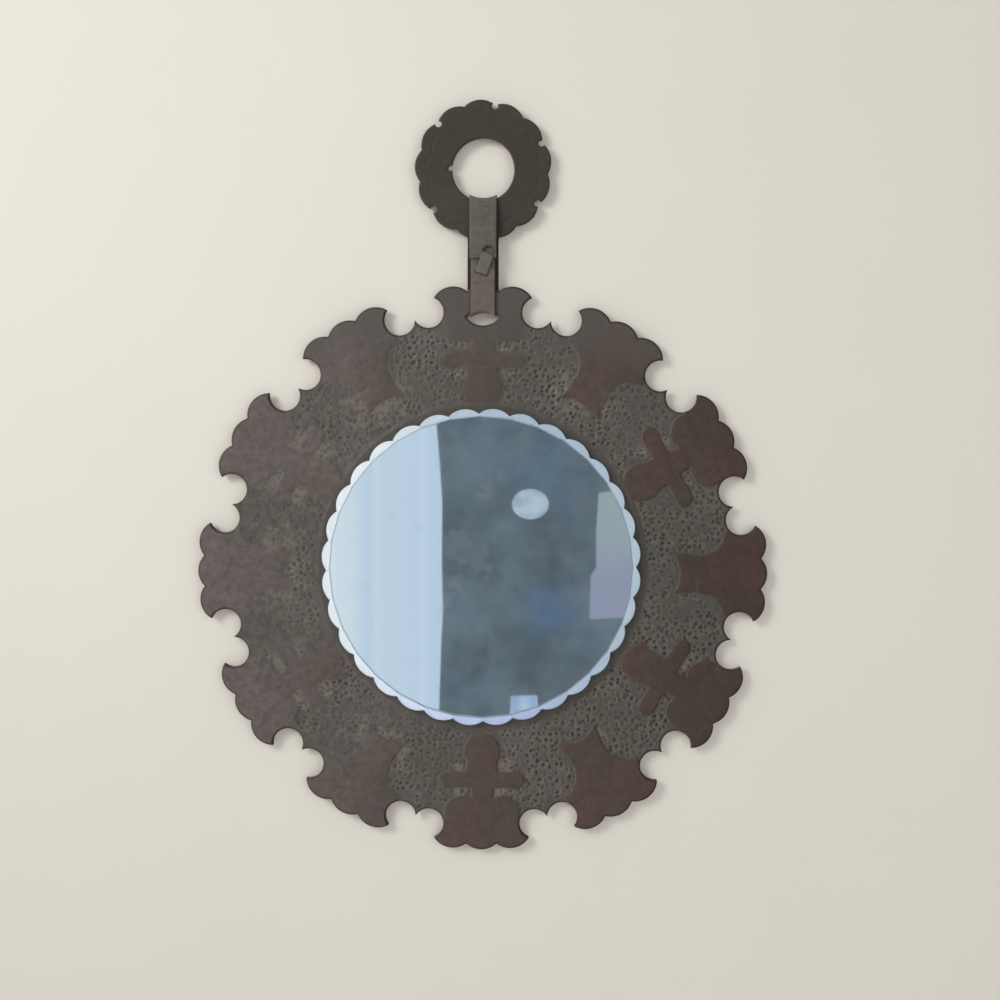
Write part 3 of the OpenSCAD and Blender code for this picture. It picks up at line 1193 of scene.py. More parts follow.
    def worn(self, u: Array, v: Array) -> Array:
        """Places where the dye is rubbed off: beside the waists and round the columns.

        Each is a round spot whose edge is broken by noise, and some are left out.

        Args:
            u: Points to the right, in mm.
            v: Points upwards, in mm.

        Returns:
            Distance in mm, above 0 inside a worn spot.
        """
        lobe, x, y = self.fold(u, v)
        beside = np.maximum(disc(x, y, 21.0, 208.0, 7.0), disc(x, y, 24.0, 187.0, 5.5))
        under = np.minimum(disc(x, y, 0.0, 172.0, 11.5), -disc(x, y, 0.0, 165.0, 13.0))
        flank = np.minimum(disc(x, y, 28.0, 190.0, 10.0), -disc(x, y, 36.0, 190.0, 12.0))
        spot = np.where(np.mod(lobe, 2) < 0.5, beside, np.maximum(under, flank))
        right = u / self.panel_r
        kept = 5.0 * value_noise(u, v, 38.0, seed=17) - 3.0 * right + 3.0 * smooth(-right, 0.2, 0.8)
        ragged = 3.0 * value_noise(u, v, 6.5, seed=15) + 2.0 * value_noise(u, v, 2.8, seed=16)
        return spot + ragged + kept - 1.5

    def handled(self, u: Array, v: Array) -> Array:
        """How much handling has softened the carving.

        Args:
            u: Points to the right, in mm.
            v: Points upwards, in mm.

        Returns:
            1 where it is crisp, up to about 4 at the left and the top.
        """
        right, up = u / self.panel_r, v / self.panel_r
        left = 2.0 * smooth(-right, 0.0, 0.8)
        top = 2.1 * smooth(up, 0.4, 0.7) * (1 - smooth(right, 0.1, 0.35))
        return 1 + 1.3 * smooth(value_noise(u, v, 55.0, seed=18), -0.1, 0.6) + np.maximum(left, top)

    def strength(self, u: Array, v: Array) -> Array:
        """How hard the ground was beaten: firmer to the right, and uneven."""
        uneven = 0.42 * value_noise(u, v, 34.0, seed=3) + 0.18 * value_noise(u, v, 13.0, seed=4)
        return np.clip(0.74 + 0.37 * u / self.panel_r + uneven, 0.2, 1.15)

    def marks(self, u: Array, v: Array) -> tuple[Array, Array, Array]:
        """The punch marks, which keep clear of figures, seat and edge.

        Args:
            u: Points to the right, in mm.
            v: Points upwards, in mm.

        Returns:
            How deep the mark here was struck, its bowl's distance over its size, and
            the distance to the ridge.
        """
        far, spare, mu, mv = self.stipple.nearest(u, v)
        clear = np.maximum(self.figures(mu, mv), self.seat(mu, mv))
        struck = smooth(-clear, 1.4, 2.4) * smooth(self.outline(mu, mv), 2.8, 4.0)
        chance = lattice_hash(np.round(mu * 7), np.round(mv * 7), seed=2)
        size = 0.66 + 0.62 * lattice_hash(np.round(mu * 9), np.round(mv * 9), seed=8)
        return struck * self.strength(mu, mv) * smooth(chance, 0.02, 0.5), far / size, spare

    def face(self, u: Array, v: Array) -> tuple[Array, dict[str, Array]]:
        """Height of the face over the panel's middle, and its masks.

        Height = ground + carved step - beaten groove beside it - rounded shoulder
        + punch marks + slow waves of the hide - rounding at the cut edge.

        Args:
            u: Points to the right, in mm.
            v: Points upwards, in mm.

        Returns:
            Height in mm, and the masks figure, pit, rim, edge, groove and bare.
        """
        figure, seat, d = self.figures(u, v), self.seat(u, v), self.outline(u, v)
        s = np.maximum(figure, seat)
        blunt = self.handled(u, v)
        raised = np.maximum(smooth(figure / blunt, -0.55, 0.45), smooth(seat / 4, -0.55, 0.45))
        low = 1 - raised
        struck, far, spare = self.marks(u, v)
        beaten = struck * low
        pit, ridge = self.stipple.bowl(far) * beaten, self.stipple.ridge(spare) * beaten
        height = self.thickness / 2 - self.relief_depth * (1.2 - 0.2 * blunt) * low
        height -= 0.2 / blunt * np.exp(-np.abs(s) / 1.8) * low
        height -= 0.2 * np.exp(-np.maximum(s, 0.0) / (2.6 * blunt)) * raised
        height += self.stipple.ridge_height * ridge - self.stipple.pit_depth * pit
        height += 0.12 * waves(u, v, 31.0, seed=11) + 0.07 * waves(u, v, 9.0, seed=12) - 0.12
        height -= 0.5 * np.square(np.clip(1 - d / 1.3, 0.0, 1.0))
        bare = (1.05 - 0.1 * blunt) * smooth(self.worn(u, v) / blunt, -1.8, 1.8) * low
        broken = smooth(value_noise(u, v, 3.4, seed=19), -0.5, 0.5)
        smear = 2.6 * waves(u, v, 13.0, seed=23) + 1.6 * waves(u, v, 4.5, seed=24)
        smeared = (figure + (blunt - 1) * smear) / blunt
        # Darker in the hollow beside each figure: painted shade.
        beside = 0.7 / blunt * bell((s + 0.6) / 1.1) * smooth(d, 1.0, 3.0) * self.strength(u, v)
        masks = {
            "figure": smooth(smeared, -1.2, 0.8) * smooth(-seat, -1.0, 1.0),
            # pit: painted shade in the punch marks.
            "pit": pit,
            # rim: a painted highlight on the ridges and rims between the marks.
            "rim": np.maximum(0.7 * ridge, self.stipple.rim(far) * broken * beaten) * (1 - bare),
            # A dark band along the cut: the edge's own dye, and painted shade of its rounding.
            "edge": 1 - smooth(d, 0.8, 2.7),
            # groove: painted shade beside the figures and round the glass seat.
            "groove": np.maximum(beside, 0.9 * smooth(seat - self.seat_border, -6.0, -0.5)),
            "bare": bare,
        }
        return height, masks

    def rear(self, u: Array, v: Array) -> Array:
        """Height of the back over the panel's middle: flat with a loose, fibrous nap."""
        return -self.thickness / 2 + 0.05 + 0.05 * value_noise(u, v, 3.0, seed=21)

    def place(self, u: Array, v: Array, height: Array) -> Array:
        """Stands the plane up: x = u, y = -height, z = v + the panel's centre."""
        return np.stack([u, -height, v + self.centre_z], axis=1)

    def build(self) -> list[bpy.types.Object]:
        """Makes the slices of the lobed band and the middle behind the glass.

        The band is a polar grid, radius by angle, cut to the outline.

        Returns:
            The pieces.
        """
        columns = self.lobe_columns * self.lobes
        angle = (np.arange(columns) + self.lobe_columns // 2) * 2 * math.pi / columns
        radius = np.linspace(self.inner_r, self.panel_r + self.margin, self.rows)
        band = CutSheet(polar_grid(radius, angle), self.outline, wrap=True)
        u, v = band.points.T
        height, masks = self.face(u, v)
        front, back = self.place(u, v, height), self.place(u, v, self.rear(u, v))
        step = columns // self.slices
        made = [
            band.piece(f"panel_slice_{k + 1}", front, back, masks, (k * step, (k + 1) * step))
            for k in range(self.slices)
        ]
        made.append(self.middle(angle))
        for piece in made:
            finish(piece, Finish.PANEL)
            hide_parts("tooled_panel")
            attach(piece, "panel")
        return made

    def middle(self, angle: Array) -> bpy.types.Object:
        """The round middle that the glass covers, on the band's own angles.

        Args:
            angle: The angles of the band's columns, in radians.

        Returns:
            The piece, closed at its centre by a fan.
        """
        radius = np.array([4.0, 30.0, 60.0, 90.0, 115.0, self.inner_r])
        rows, cols = len(radius), len(angle)
        plan = np.append(polar_grid(radius, angle).reshape(-1, 2), [[0.0, 0.0]], axis=0)
        i, j = np.meshgrid(np.arange(rows - 1), np.arange(cols), indexing="ij")
        a0, b0 = (i * cols + j).ravel(), (i * cols + (j + 1) % cols).ravel()
        a1, b1 = a0 + cols, b0 + cols
        ring, hub = np.arange(cols), np.full(cols, rows * cols)
        tris = np.concatenate([
            np.stack([a0, b0, b1], 1), np.stack([a0, b1, a1], 1),
            np.stack([hub, (ring + 1) % cols, ring], 1),
        ])
        area = np.cross(plan[tris[:, 1]] - plan[tris[:, 0]], plan[tris[:, 2]] - plan[tris[:, 0]])
        tris = np.where((area < 0)[:, None], tris[:, ::-1], tris)
        u, v = plan.T
        height, masks = self.face(u, v)
        front, back = self.place(u, v, height), self.place(u, v, self.rear(u, v))
        return sheet_object("panel_middle", front, back, tris, masks)


# The ring


@dataclass
class HangingRing:
    """The scalloped leather ring that the piece hangs by."""

    ring_r: float = 63.0
    hole_r: float = 28.5
    thickness: float = 4.6
    scallop_r: float = 21.0
    scallops: int = 13
    turn: float = 3.5
    punch_r: float = 3.0
    notch_r: float = 2.6
    notch_turn: float = 87.0
    columns: int = 520
    rows: int = 54
    margin: float = 0.9

    @property
    def cusp_r(self) -> float:
        """Radius where two scallops meet: c cos h + sqrt(r^2 - (c sin h)^2).

        Here c is how far a scallop's centre is out, and h is half of its angle.

        Returns:
            The radius in mm.
        """
        half = math.pi / self.scallops
        reach = self.ring_r - self.scallop_r
        return reach * math.cos(half) + math.sqrt(self.scallop_r**2 - (reach * math.sin(half)) ** 2)

    def local(self, u: Array, v: Array) -> tuple[Array, Array]:
        """Every point in its own scallop: x beside the scallop's line, y along it.

        Args:
            u: Points to the right, in mm.
            v: Points upwards, in mm.

        Returns:
            x and y.
        """
        step = 2 * math.pi / self.scallops
        angle = np.arctan2(-u, v) - math.radians(180 + self.turn) - step / 2
        angle = angle - step * np.round(angle / step)
        r = np.hypot(u, v)
        return r * np.sin(angle), r * np.cos(angle)

    def hole(self, u: Array, v: Array, turn: float, at: float, r: float) -> Array:
        """Distance inside a small round hole.

        Args:
            u: Points to the right, in mm.
            v: Points upwards, in mm.
            turn: Where it lies round the ring, in degrees from the top to the left.
            at: How far its middle is from the ring's, in mm.
            r: Its radius, in mm.

        Returns:
            Distance in mm, above 0 inside the hole.
        """
        a = math.radians(turn)
        return disc(u, v, -at * math.sin(a), at * math.cos(a), r)

    def outline(self, u: Array, v: Array) -> Array:
        """Distance inside the outline: scallops, less the hole, punch marks and notch.

        Args:
            u: Points to the right, in mm.
            v: Points upwards, in mm.

        Returns:
            Distance in mm, above 0 inside the leather.
        """
        x, y = self.local(u, v)
        d = disc(x, y, 0.0, self.ring_r - self.scallop_r, self.scallop_r)
        d = np.minimum(d, np.hypot(u, v) - self.hole_r)
        step = 360 / self.scallops
        for k in range(-1, self.scallops // 2 - 1):
            turn = 180 + self.turn + 2 * k * step
            at = self.cusp_r - 0.3 * self.punch_r
            d = np.minimum(d, -self.hole(u, v, turn, at, self.punch_r))
        at = self.hole_r + self.notch_r / 2
        return np.minimum(d, -self.hole(u, v, self.notch_turn, at, self.notch_r))

    def face(self, u: Array, v: Array) -> tuple[Array, dict[str, Array]]:
        """Height of the face over the ring's middle, and its masks.

        Height = half thickness - rounding at the edges - a shallow arc stamped under
        each scallop + slow waves. A few long scratches are paler.

        Args:
            u: Points to the right, in mm.
            v: Points upwards, in mm.

        Returns:
            Height in mm, and the masks edge, groove and rim.
        """
        d = self.outline(u, v)
        x, y = self.local(u, v)
        arc = disc(x, y, 0.0, self.ring_r - self.scallop_r - 4.5, self.scallop_r - 6.0)
        stamped = bell(arc / 0.7) * smooth(y, 38.0, 44.0)
        height = self.thickness / 2 - 0.08 + 0.06 * waves(u, v, 24.0, seed=31) - 0.22 * stamped
        height -= 0.55 * np.square(np.clip(1 - d / 1.2, 0.0, 1.0))
        scratch = sum(
            bell(disc(u, v, cu, cv, r) / width)
            for cu, cv, r, width in (
                (34.0, 6.0, 44.0, 0.6),
                (-52.0, 18.0, 66.0, 0.5),
                (-8.0, -60.0, 47.0, 0.6),
            )
        )
        scratch = 0.8 * scratch * smooth(value_noise(u, v, 9.0, seed=33), -0.1, 0.7)
        masks = {
            "edge": 1 - smooth(d, 0.3, 1.7),
            # Darker in the stamped arcs: painted shade in their hollows.
            "groove": 0.3 * stamped,
            "rim": scratch + 0.25 * stamped,
        }
        return height, masks

    def build(self) -> bpy.types.Object:
        """Makes the ring on a polar grid, radius by angle, cut to its outline.

        Returns:
            The piece.
        """
        angle = np.arange(self.columns) * 2 * math.pi / self.columns
        radius = np.linspace(self.hole_r - self.margin, self.ring_r + self.margin, self.rows)
        sheet = CutSheet(polar_grid(radius, angle), self.outline, wrap=True, reach=0.4)
        u, v = sheet.points.T
        height, masks = self.face(u, v)
        rear = -self.thickness / 2 + 0.05 + 0.05 * value_noise(u, v, 3.0, seed=22)
        front, back = np.stack([u, -height, v], axis=1), np.stack([u, -rear, v], axis=1)
        piece = sheet.piece("ring_leather", front, back, masks)
        finish(piece, Finish.RING)
        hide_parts("hanging_ring")
        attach(piece, "ring")
        return piece


# Strap and lace


@dataclass
class BentLine:
    """A line of points with rounded corners, measured by its length."""

    corners: list[tuple[float, float]]
    radius: float
    step: float = 0.3
    line: Array = field(init=False)
    length: Array = field(init=False)

    def __post_init__(self) -> None:
        """Rounds every corner with an arc and measures the line.

        An arc of radius R in a corner of turn t starts R tan(t / 2) before it. It is
        the rational curve of second order on the corner, with weight cos(t / 2).
        """
        pts = np.array(self.corners, float)
        out = [pts[:1]]
        for k in range(1, len(pts) - 1):
            a, b = pts[k] - pts[k - 1], pts[k + 1] - pts[k]
            la, lb = np.linalg.norm(a), np.linalg.norm(b)
            a, b = a / la, b / lb
            turn = math.atan2(a[0] * b[1] - a[1] * b[0], float(a @ b))
            cut = min(self.radius * math.tan(abs(turn) / 2), 0.49 * la, 0.49 * lb)
            t = np.linspace(0.0, 1.0, 9)[:, None]
            first, middle, last = (1 - t) ** 2, 2 * math.cos(turn / 2) * t * (1 - t), t**2
            top = first * (pts[k] - a * cut) + middle * pts[k] + last * (pts[k] + b * cut)
            out.append(top / (first + middle + last))
        out.append(pts[-1:])
        line = np.concatenate(out)
        part = np.concatenate([[0.0], np.cumsum(np.linalg.norm(np.diff(line, axis=0), axis=1))])
        self.length = np.arange(0.0, part[-1], self.step)
        self.line = np.stack([np.interp(self.length, part, line[:, k]) for k in (0, 1)], axis=1)

    @property
    def total(self) -> float:
        """Length of the whole line."""
        return float(self.length[-1])

    def at(self, s: Array) -> tuple[Array, Array]:
        """Place and outward direction at lengths along the line.

        The outward direction is the line's own direction (ty, tz) turned to (tz, -ty).

        Args:
            s: Lengths from the start, in mm.

        Returns:
            Rows of y and z, and rows of the outward direction.
        """
        way = np.gradient(self.line, self.length, axis=0)
        way /= np.linalg.norm(way, axis=1)[:, None]
        place = np.stack([np.interp(s, self.length, self.line[:, k]) for k in (0, 1)], axis=1)
        over = np.minimum(s, 0.0) + np.maximum(s - self.total, 0.0)
        ty, tz = (np.interp(s, self.length, way[:, k]) for k in (0, 1))
        place = place + over[:, None] * np.stack([ty, tz], axis=1)
        return place, np.stack([tz, -ty], axis=1)


@dataclass
class HangingStrap:
    """The looped strap with lapped ends, and the lace that ties them."""

    half_gap: float = 2.6
    thickness: float = 2.8
    layer_gap: float = 0.2
    front_w: float = 25.4
    under_w: float = 23.0
    rear_w: float = 29.0
    hole_r: float = 28.5
    slot_head: float = -127.5
    slot_edge_r: float = 19.78
    seat: float = 0.3
    bend_r: float = 0.6
    corner_r: float = 1.6
    lap_end: float = -81.0
    lap_head: float = -43.0
    lap_slope: float = 7.0
    lace_w: float = 11.0
    lace_t: float = 1.6
    lace_play: float = 0.1
    slant: float = 20.0
    hole_foot: float = 8.2
    hole_h: float = 8.5
    lace_mid: float = -85.6
    lace_side: float = 1.5
    bend_from: float = -64.5
    bend_to: float = -103.0
    line: BentLine = field(init=False)
    lace_line: BentLine = field(init=False)

    def __post_init__(self) -> None:
        """Lays the middle lines of the strap and of its lace.

        The strap's goes from the front lower end through the slot, up the rear, over
        the ring's edge and down to the upper end. The lace's goes from behind the
        arched hole over the lap and down a slope to behind the slit.
        """
        self.line = BentLine(self.corners(), self.bend_r + self.thickness / 2)
        self.lace_line = BentLine(self.lace_corners(), 1.0, 0.15)

    def corners(self) -> list[tuple[float, float]]:
        """Corners of the strap's middle line.

        Returns:
            Their y and z, in mm.
        """
        low = self.half_gap + self.thickness / 2
        high = low + self.thickness + self.layer_gap
        foot = self.slot_head - self.seat - self.thickness / 2
        head = -(self.hole_r - self.seat - self.thickness / 2)
        raised = self.lap_head + self.layer_gap
        return [
            (-low, self.lap_head), (-low, foot), (low, foot), (low, head), (-low, head),
            (-low, raised + self.lap_slope), (-high, raised), (-high, self.lap_end),
        ]

    def lace_corners(self) -> list[tuple[float, float]]:
        """Corners of the lace's middle line, from the lace's middle.

        Returns:
            Their y, and how far up its slant they lie, in mm.
        """
        half = self.lace_t / 2
        tail = self.half_gap - self.layer_gap - half
        low = self.half_gap + self.thickness + self.layer_gap + half
        high = low + self.thickness + self.layer_gap
        end = self.hole_foot + self.layer_gap + half
        across = self.lace_w / 2 * math.tan(math.radians(self.slant))
        ledge = self.lap_end - across - self.layer_gap - self.lace_mid
        return [
            (-tail, 0.75), (-tail, end), (-high, end), (-high, ledge),
            (-low, ledge - self.lap_slope), (-low, -end), (-tail, -end), (-tail, -0.75),
        ]

    def lengths(self) -> tuple[float, float, float]:
        """Lengths along the line at the turns.

        Returns:
            The middle of the turn in the slot, the middle of the turn over the ring,
            and where the upper end starts.
        """
        place, _ = self.line.at(self.line.length)
        foot = float(self.line.length[np.argmin(place[:, 1])])
        back = self.line.length > foot
        head = float(self.line.length[back][np.argmax(place[back, 1])])
        middle = self.line.length[np.abs(place[:, 0]) < 0.2]
        first, second = middle[middle < foot + 20], middle[middle > foot + 20]
        return float(first.mean()), float(second.mean()), head

    def half_width(self, s: Array) -> Array:
        """Half of the strap's width along its line, with a slightly wandering edge.

        Args:
            s: Lengths along the strap, in mm.

        Returns:
            Half widths, in mm.
        """
        foot, head, _ = self.lengths()
        rear = smooth(s, foot + 6, foot + 18) * (1 - smooth(s, head - 18, head - 6))
        width = np.where(s < (foot + head) / 2, self.under_w, self.front_w)
        width = width * (1 - rear) + self.rear_w * rear
        return width / 2 - 0.15 + 0.13 * value_noise(s, s * 0, 11.0, seed=41)

    def slanted(self, x: Array, z: Array) -> tuple[Array, Array]:
        """Coordinates across and along the lace's slant, from the lace's middle.

        Args:
            x: Places to the right, in mm.
            z: Places upwards, in mm.

        Returns:
            Places across the slant and up along it.
        """
        a = math.radians(self.slant)
        dx, dz = x - self.lace_side, z - self.lace_mid
        return dx * math.cos(a) - dz * math.sin(a), dx * math.sin(a) + dz * math.cos(a)

    def outline(self, s: Array, t: Array) -> Array:
        """Distance inside the flat strap: its band, less the lace's hole and slits.

        The upper end has the arched hole; the end under it is only slit for the lace.

        Args:
            s: Lengths along the strap, in mm.
            t: Places across it, in mm.

        Returns:
            Distance in mm, above 0 inside the leather.
        """
        across, lap = self.half_width(s) - np.abs(t), self.line.total - s
        d = np.minimum(across, np.minimum(s, lap))
        r = self.corner_r
        rounded = r - np.hypot(np.maximum(r - across, 0), np.maximum(r - lap, 0))
        d = np.where(np.minimum(across, lap) < r, np.minimum(d, rounded), d)
        place, _ = self.line.at(s)
        foot = self.lengths()[0]
        front = place[:, 0] < -2.0
        x, z = self.slanted(t, place[:, 1])
        half, low, high = self.lace_w / 2 + self.lace_play, self.hole_foot, self.hole_foot + self.hole_h
        arch = min(self.hole_h - self.lace_t - 0.4, half - 0.5)
        head_r = lens_radius(2 * half, 2 * arch)
        hole = np.minimum(block(x, z, half, low, high + 1), disc(x, z, 0.0, high - head_r, head_r))
        inner, outer = low + self.lace_play, low + self.lace_t + self.layer_gap + self.lace_play
        slits = np.maximum(block(x, z, half, -outer, -inner), block(x, z, half, inner, outer))
        d = np.where(front & (s > foot), np.minimum(d, -hole), d)
        return np.where(front & (s < foot), np.minimum(d, -slits), d)

    def dents(self, s: Array, t: Array) -> Array:
        """Three short curved dents down the upper end, each a stretch of a thin ring.

        Args:
            s: Lengths along the strap, in mm.
            t: Places across it, in mm.

        Returns:
            Depth from 0 to 1.
        """
        z = self.lap_end + self.line.total - s
        depth = np.zeros_like(s)
        for side, middle, r in ((1.0, -38.0, 5.5), (2.5, -58.5, 3.2), (2.0, -67.0, 3.0)):
            ring = bell(disc(t, z, side, middle, r) / 0.55)
            depth = np.maximum(depth, ring * smooth(t - side, -0.5 * r, 0.3 * r))
        return depth * (s > self.lengths()[2])

    def lift(self, s: Array, t: Array, middle: float, edge_r: float) -> Array:
        """How far a round edge of radius R takes the strap along z, beside its middle.

        It is R - sqrt(R^2 - t^2) in the turn, and fades out along the strap.

        Args:
            s: Lengths along the strap, in mm.
            t: Places across it, in mm.
            middle: Length at the middle of the turn, in mm.
            edge_r: Radius of the edge, in mm.

        Returns:
            Distance in mm.
        """
        r = edge_r - self.seat - self.thickness / 2
        return (r - np.sqrt(r**2 - np.square(t))) * (1 - smooth(np.abs(s - middle), 4.5, 17.0))

    def place(self, s: Array, t: Array, height: Array) -> Array:
        """Wraps the flat strap round its line: place = line + height x outward.

        Args:
            s: Lengths along the strap, in mm.
            t: Places across it, in mm.
            height: Distance outwards from the middle of the leather, in mm.

        Returns:
            Rows of x, y and z in mm.
        """
        place, out = self.line.at(s)
        foot, head, _ = self.lengths()
        up, down = self.lift(s, t, head, self.hole_r), self.lift(s, t, foot, self.slot_edge_r)
        yz = place + height[:, None] * out
        return np.stack([t, yz[:, 0], yz[:, 1] + up - down], axis=1)

    def lace_outline(self, s: Array, t: Array) -> Array:
        """Distance inside the flat lace.

        Args:
            s: Lengths along the lace, in mm.
            t: Places across it, in mm.

        Returns:
            Distance in mm, above 0 inside the leather.
        """
        half = self.lace_w / 2 - 0.12 + 0.1 * value_noise(s, s * 0, 5.0, seed=61)
        return np.minimum(half - np.abs(t), np.minimum(s, self.lace_line.total - s))

    def lace_place(self, s: Array, t: Array, height: Array) -> Array:
        """Wraps the flat lace round its line and turns it onto its slant.

        Args:
            s: Lengths along the lace, in mm.
            t: Places across it, in mm.
            height: Distance outwards from the middle of the leather, in mm.

        Returns:
            Rows of x, y and z in mm.
        """
        place, out = self.lace_line.at(s)
        y, along = (place + height[:, None] * out).T
        a = math.radians(self.slant)
        x = self.lace_side + t * math.cos(a) + along * math.sin(a)
        z = self.lace_mid - t * math.sin(a) + along * math.cos(a)
        return np.stack([x, y, z], axis=1)

    def strap(self) -> bpy.types.Object:
        """Makes the strap.

        Returns:
            The piece.
        """
        plan = flat_grid(np.arange(-1.2, self.line.total + 1.3, 0.7), np.linspace(-15.6, 15.6, 46))
        sheet = CutSheet(plan, self.outline, reach=0.36)
        s, t = sheet.points.T
        d, dent = self.outline(s, t), self.dents(s, t)
        wave = 0.05 * value_noise(s, t, 12.0, seed=51) + 0.03 * value_noise(s, t, 3.5, seed=52)
        crease = 0.1 * bell(value_noise(s, t * 0.35, 9.0, seed=53) / 0.08)
        rounding = 0.4 * np.square(np.clip(1 - d, 0.0, 1.0))
        height = self.thickness / 2 - 0.08 + wave - crease - rounding - 0.15 * dent
        rear = -self.thickness / 2 + 0.04 + 0.04 * value_noise(s, t, 2.5, seed=54)
        foot = self.lengths()[0]
        masks = {
            "edge": 1 - smooth(d, 0.2, 1.5),
            # Darker in the creases and dents: painted shade.
            "groove": np.minimum(crease * 6 + dent, 1),
            "figure": 1 - smooth(s, foot - 4, foot + 4),
        }
        front, back = self.place(s, t, height), self.place(s, t, rear)
        strap = sheet.piece("strap_leather", front, back, masks)
        finish(strap, Finish.STRAP)
        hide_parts("hanging_strap")
        self.bend(strap)
        return strap

    def lace(self) -> bpy.types.Object:
        """Makes the lace.

        Returns:
            The piece.
        """
        plan = flat_grid(np.arange(-0.8, self.lace_line.total + 0.9, 0.4), np.linspace(-6.2, 6.2, 32))
        sheet = CutSheet(plan, self.lace_outline, reach=0.22)
        s, t = sheet.points.T
        d, half = self.lace_outline(s, t), self.lace_t / 2
        height = half - 0.05 + 0.05 * value_noise(s, t, 4.0, seed=62)
        height -= 0.3 * np.square(np.clip(1 - d / 0.8, 0.0, 1.0))
        front, back = self.lace_place(s, t, height), self.lace_place(s, t, np.full(s.shape, -half))
        lace = sheet.piece("lace_leather", front, back, {"edge": 1 - smooth(d, 0.05, 0.8)})
        finish(lace, Finish.LACE)
        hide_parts("strap_lace")
        self.bend(lace)
        return lace

    def build(self) -> list[bpy.types.Object]:
        """Makes the strap and its lace.

        Returns:
            The pieces.
        """
        return [self.strap(), self.lace()]

    def bend(self, piece: bpy.types.Object) -> None:
        """Bakes a piece's placement into its mesh."""
        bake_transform(piece)


# The glass


@dataclass
class MirrorGlass:
    """Glass, silver and mastic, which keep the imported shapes.

    The silver touches the glass, so it is moved back by a hair: light that leaves the
    glass then always meets the silver next.
    """

    coat_gap: float = 0.05

    def build(self) -> list[bpy.types.Object]:
        """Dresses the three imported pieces.

        Returns:
            The pieces.
        """
        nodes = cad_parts
        plan = {
            "mirror_glass": Finish.GLASS,
            "mirror_silvering": Finish.SILVER,
            "mirror_adhesive": Finish.MASTIC,
        }
        for name, kind in plan.items():
            dress(nodes[name], kind)
        coat = nodes["mirror_silvering"].modifiers.new("coat_gap", "DISPLACE")
        coat.direction, coat.mid_level, coat.strength = "Y", 0.0, self.coat_gap * MM
        return [nodes[name] for name in plan]


# Studio and camera


class Pattern(Enum):
    """How a bright face passes from its first colour to its second."""

    BANDS = "soft upright bands and a paler left side, as on a curtained window"
    FALL = "the second colour above"
    CORE = "patches of the second colour"


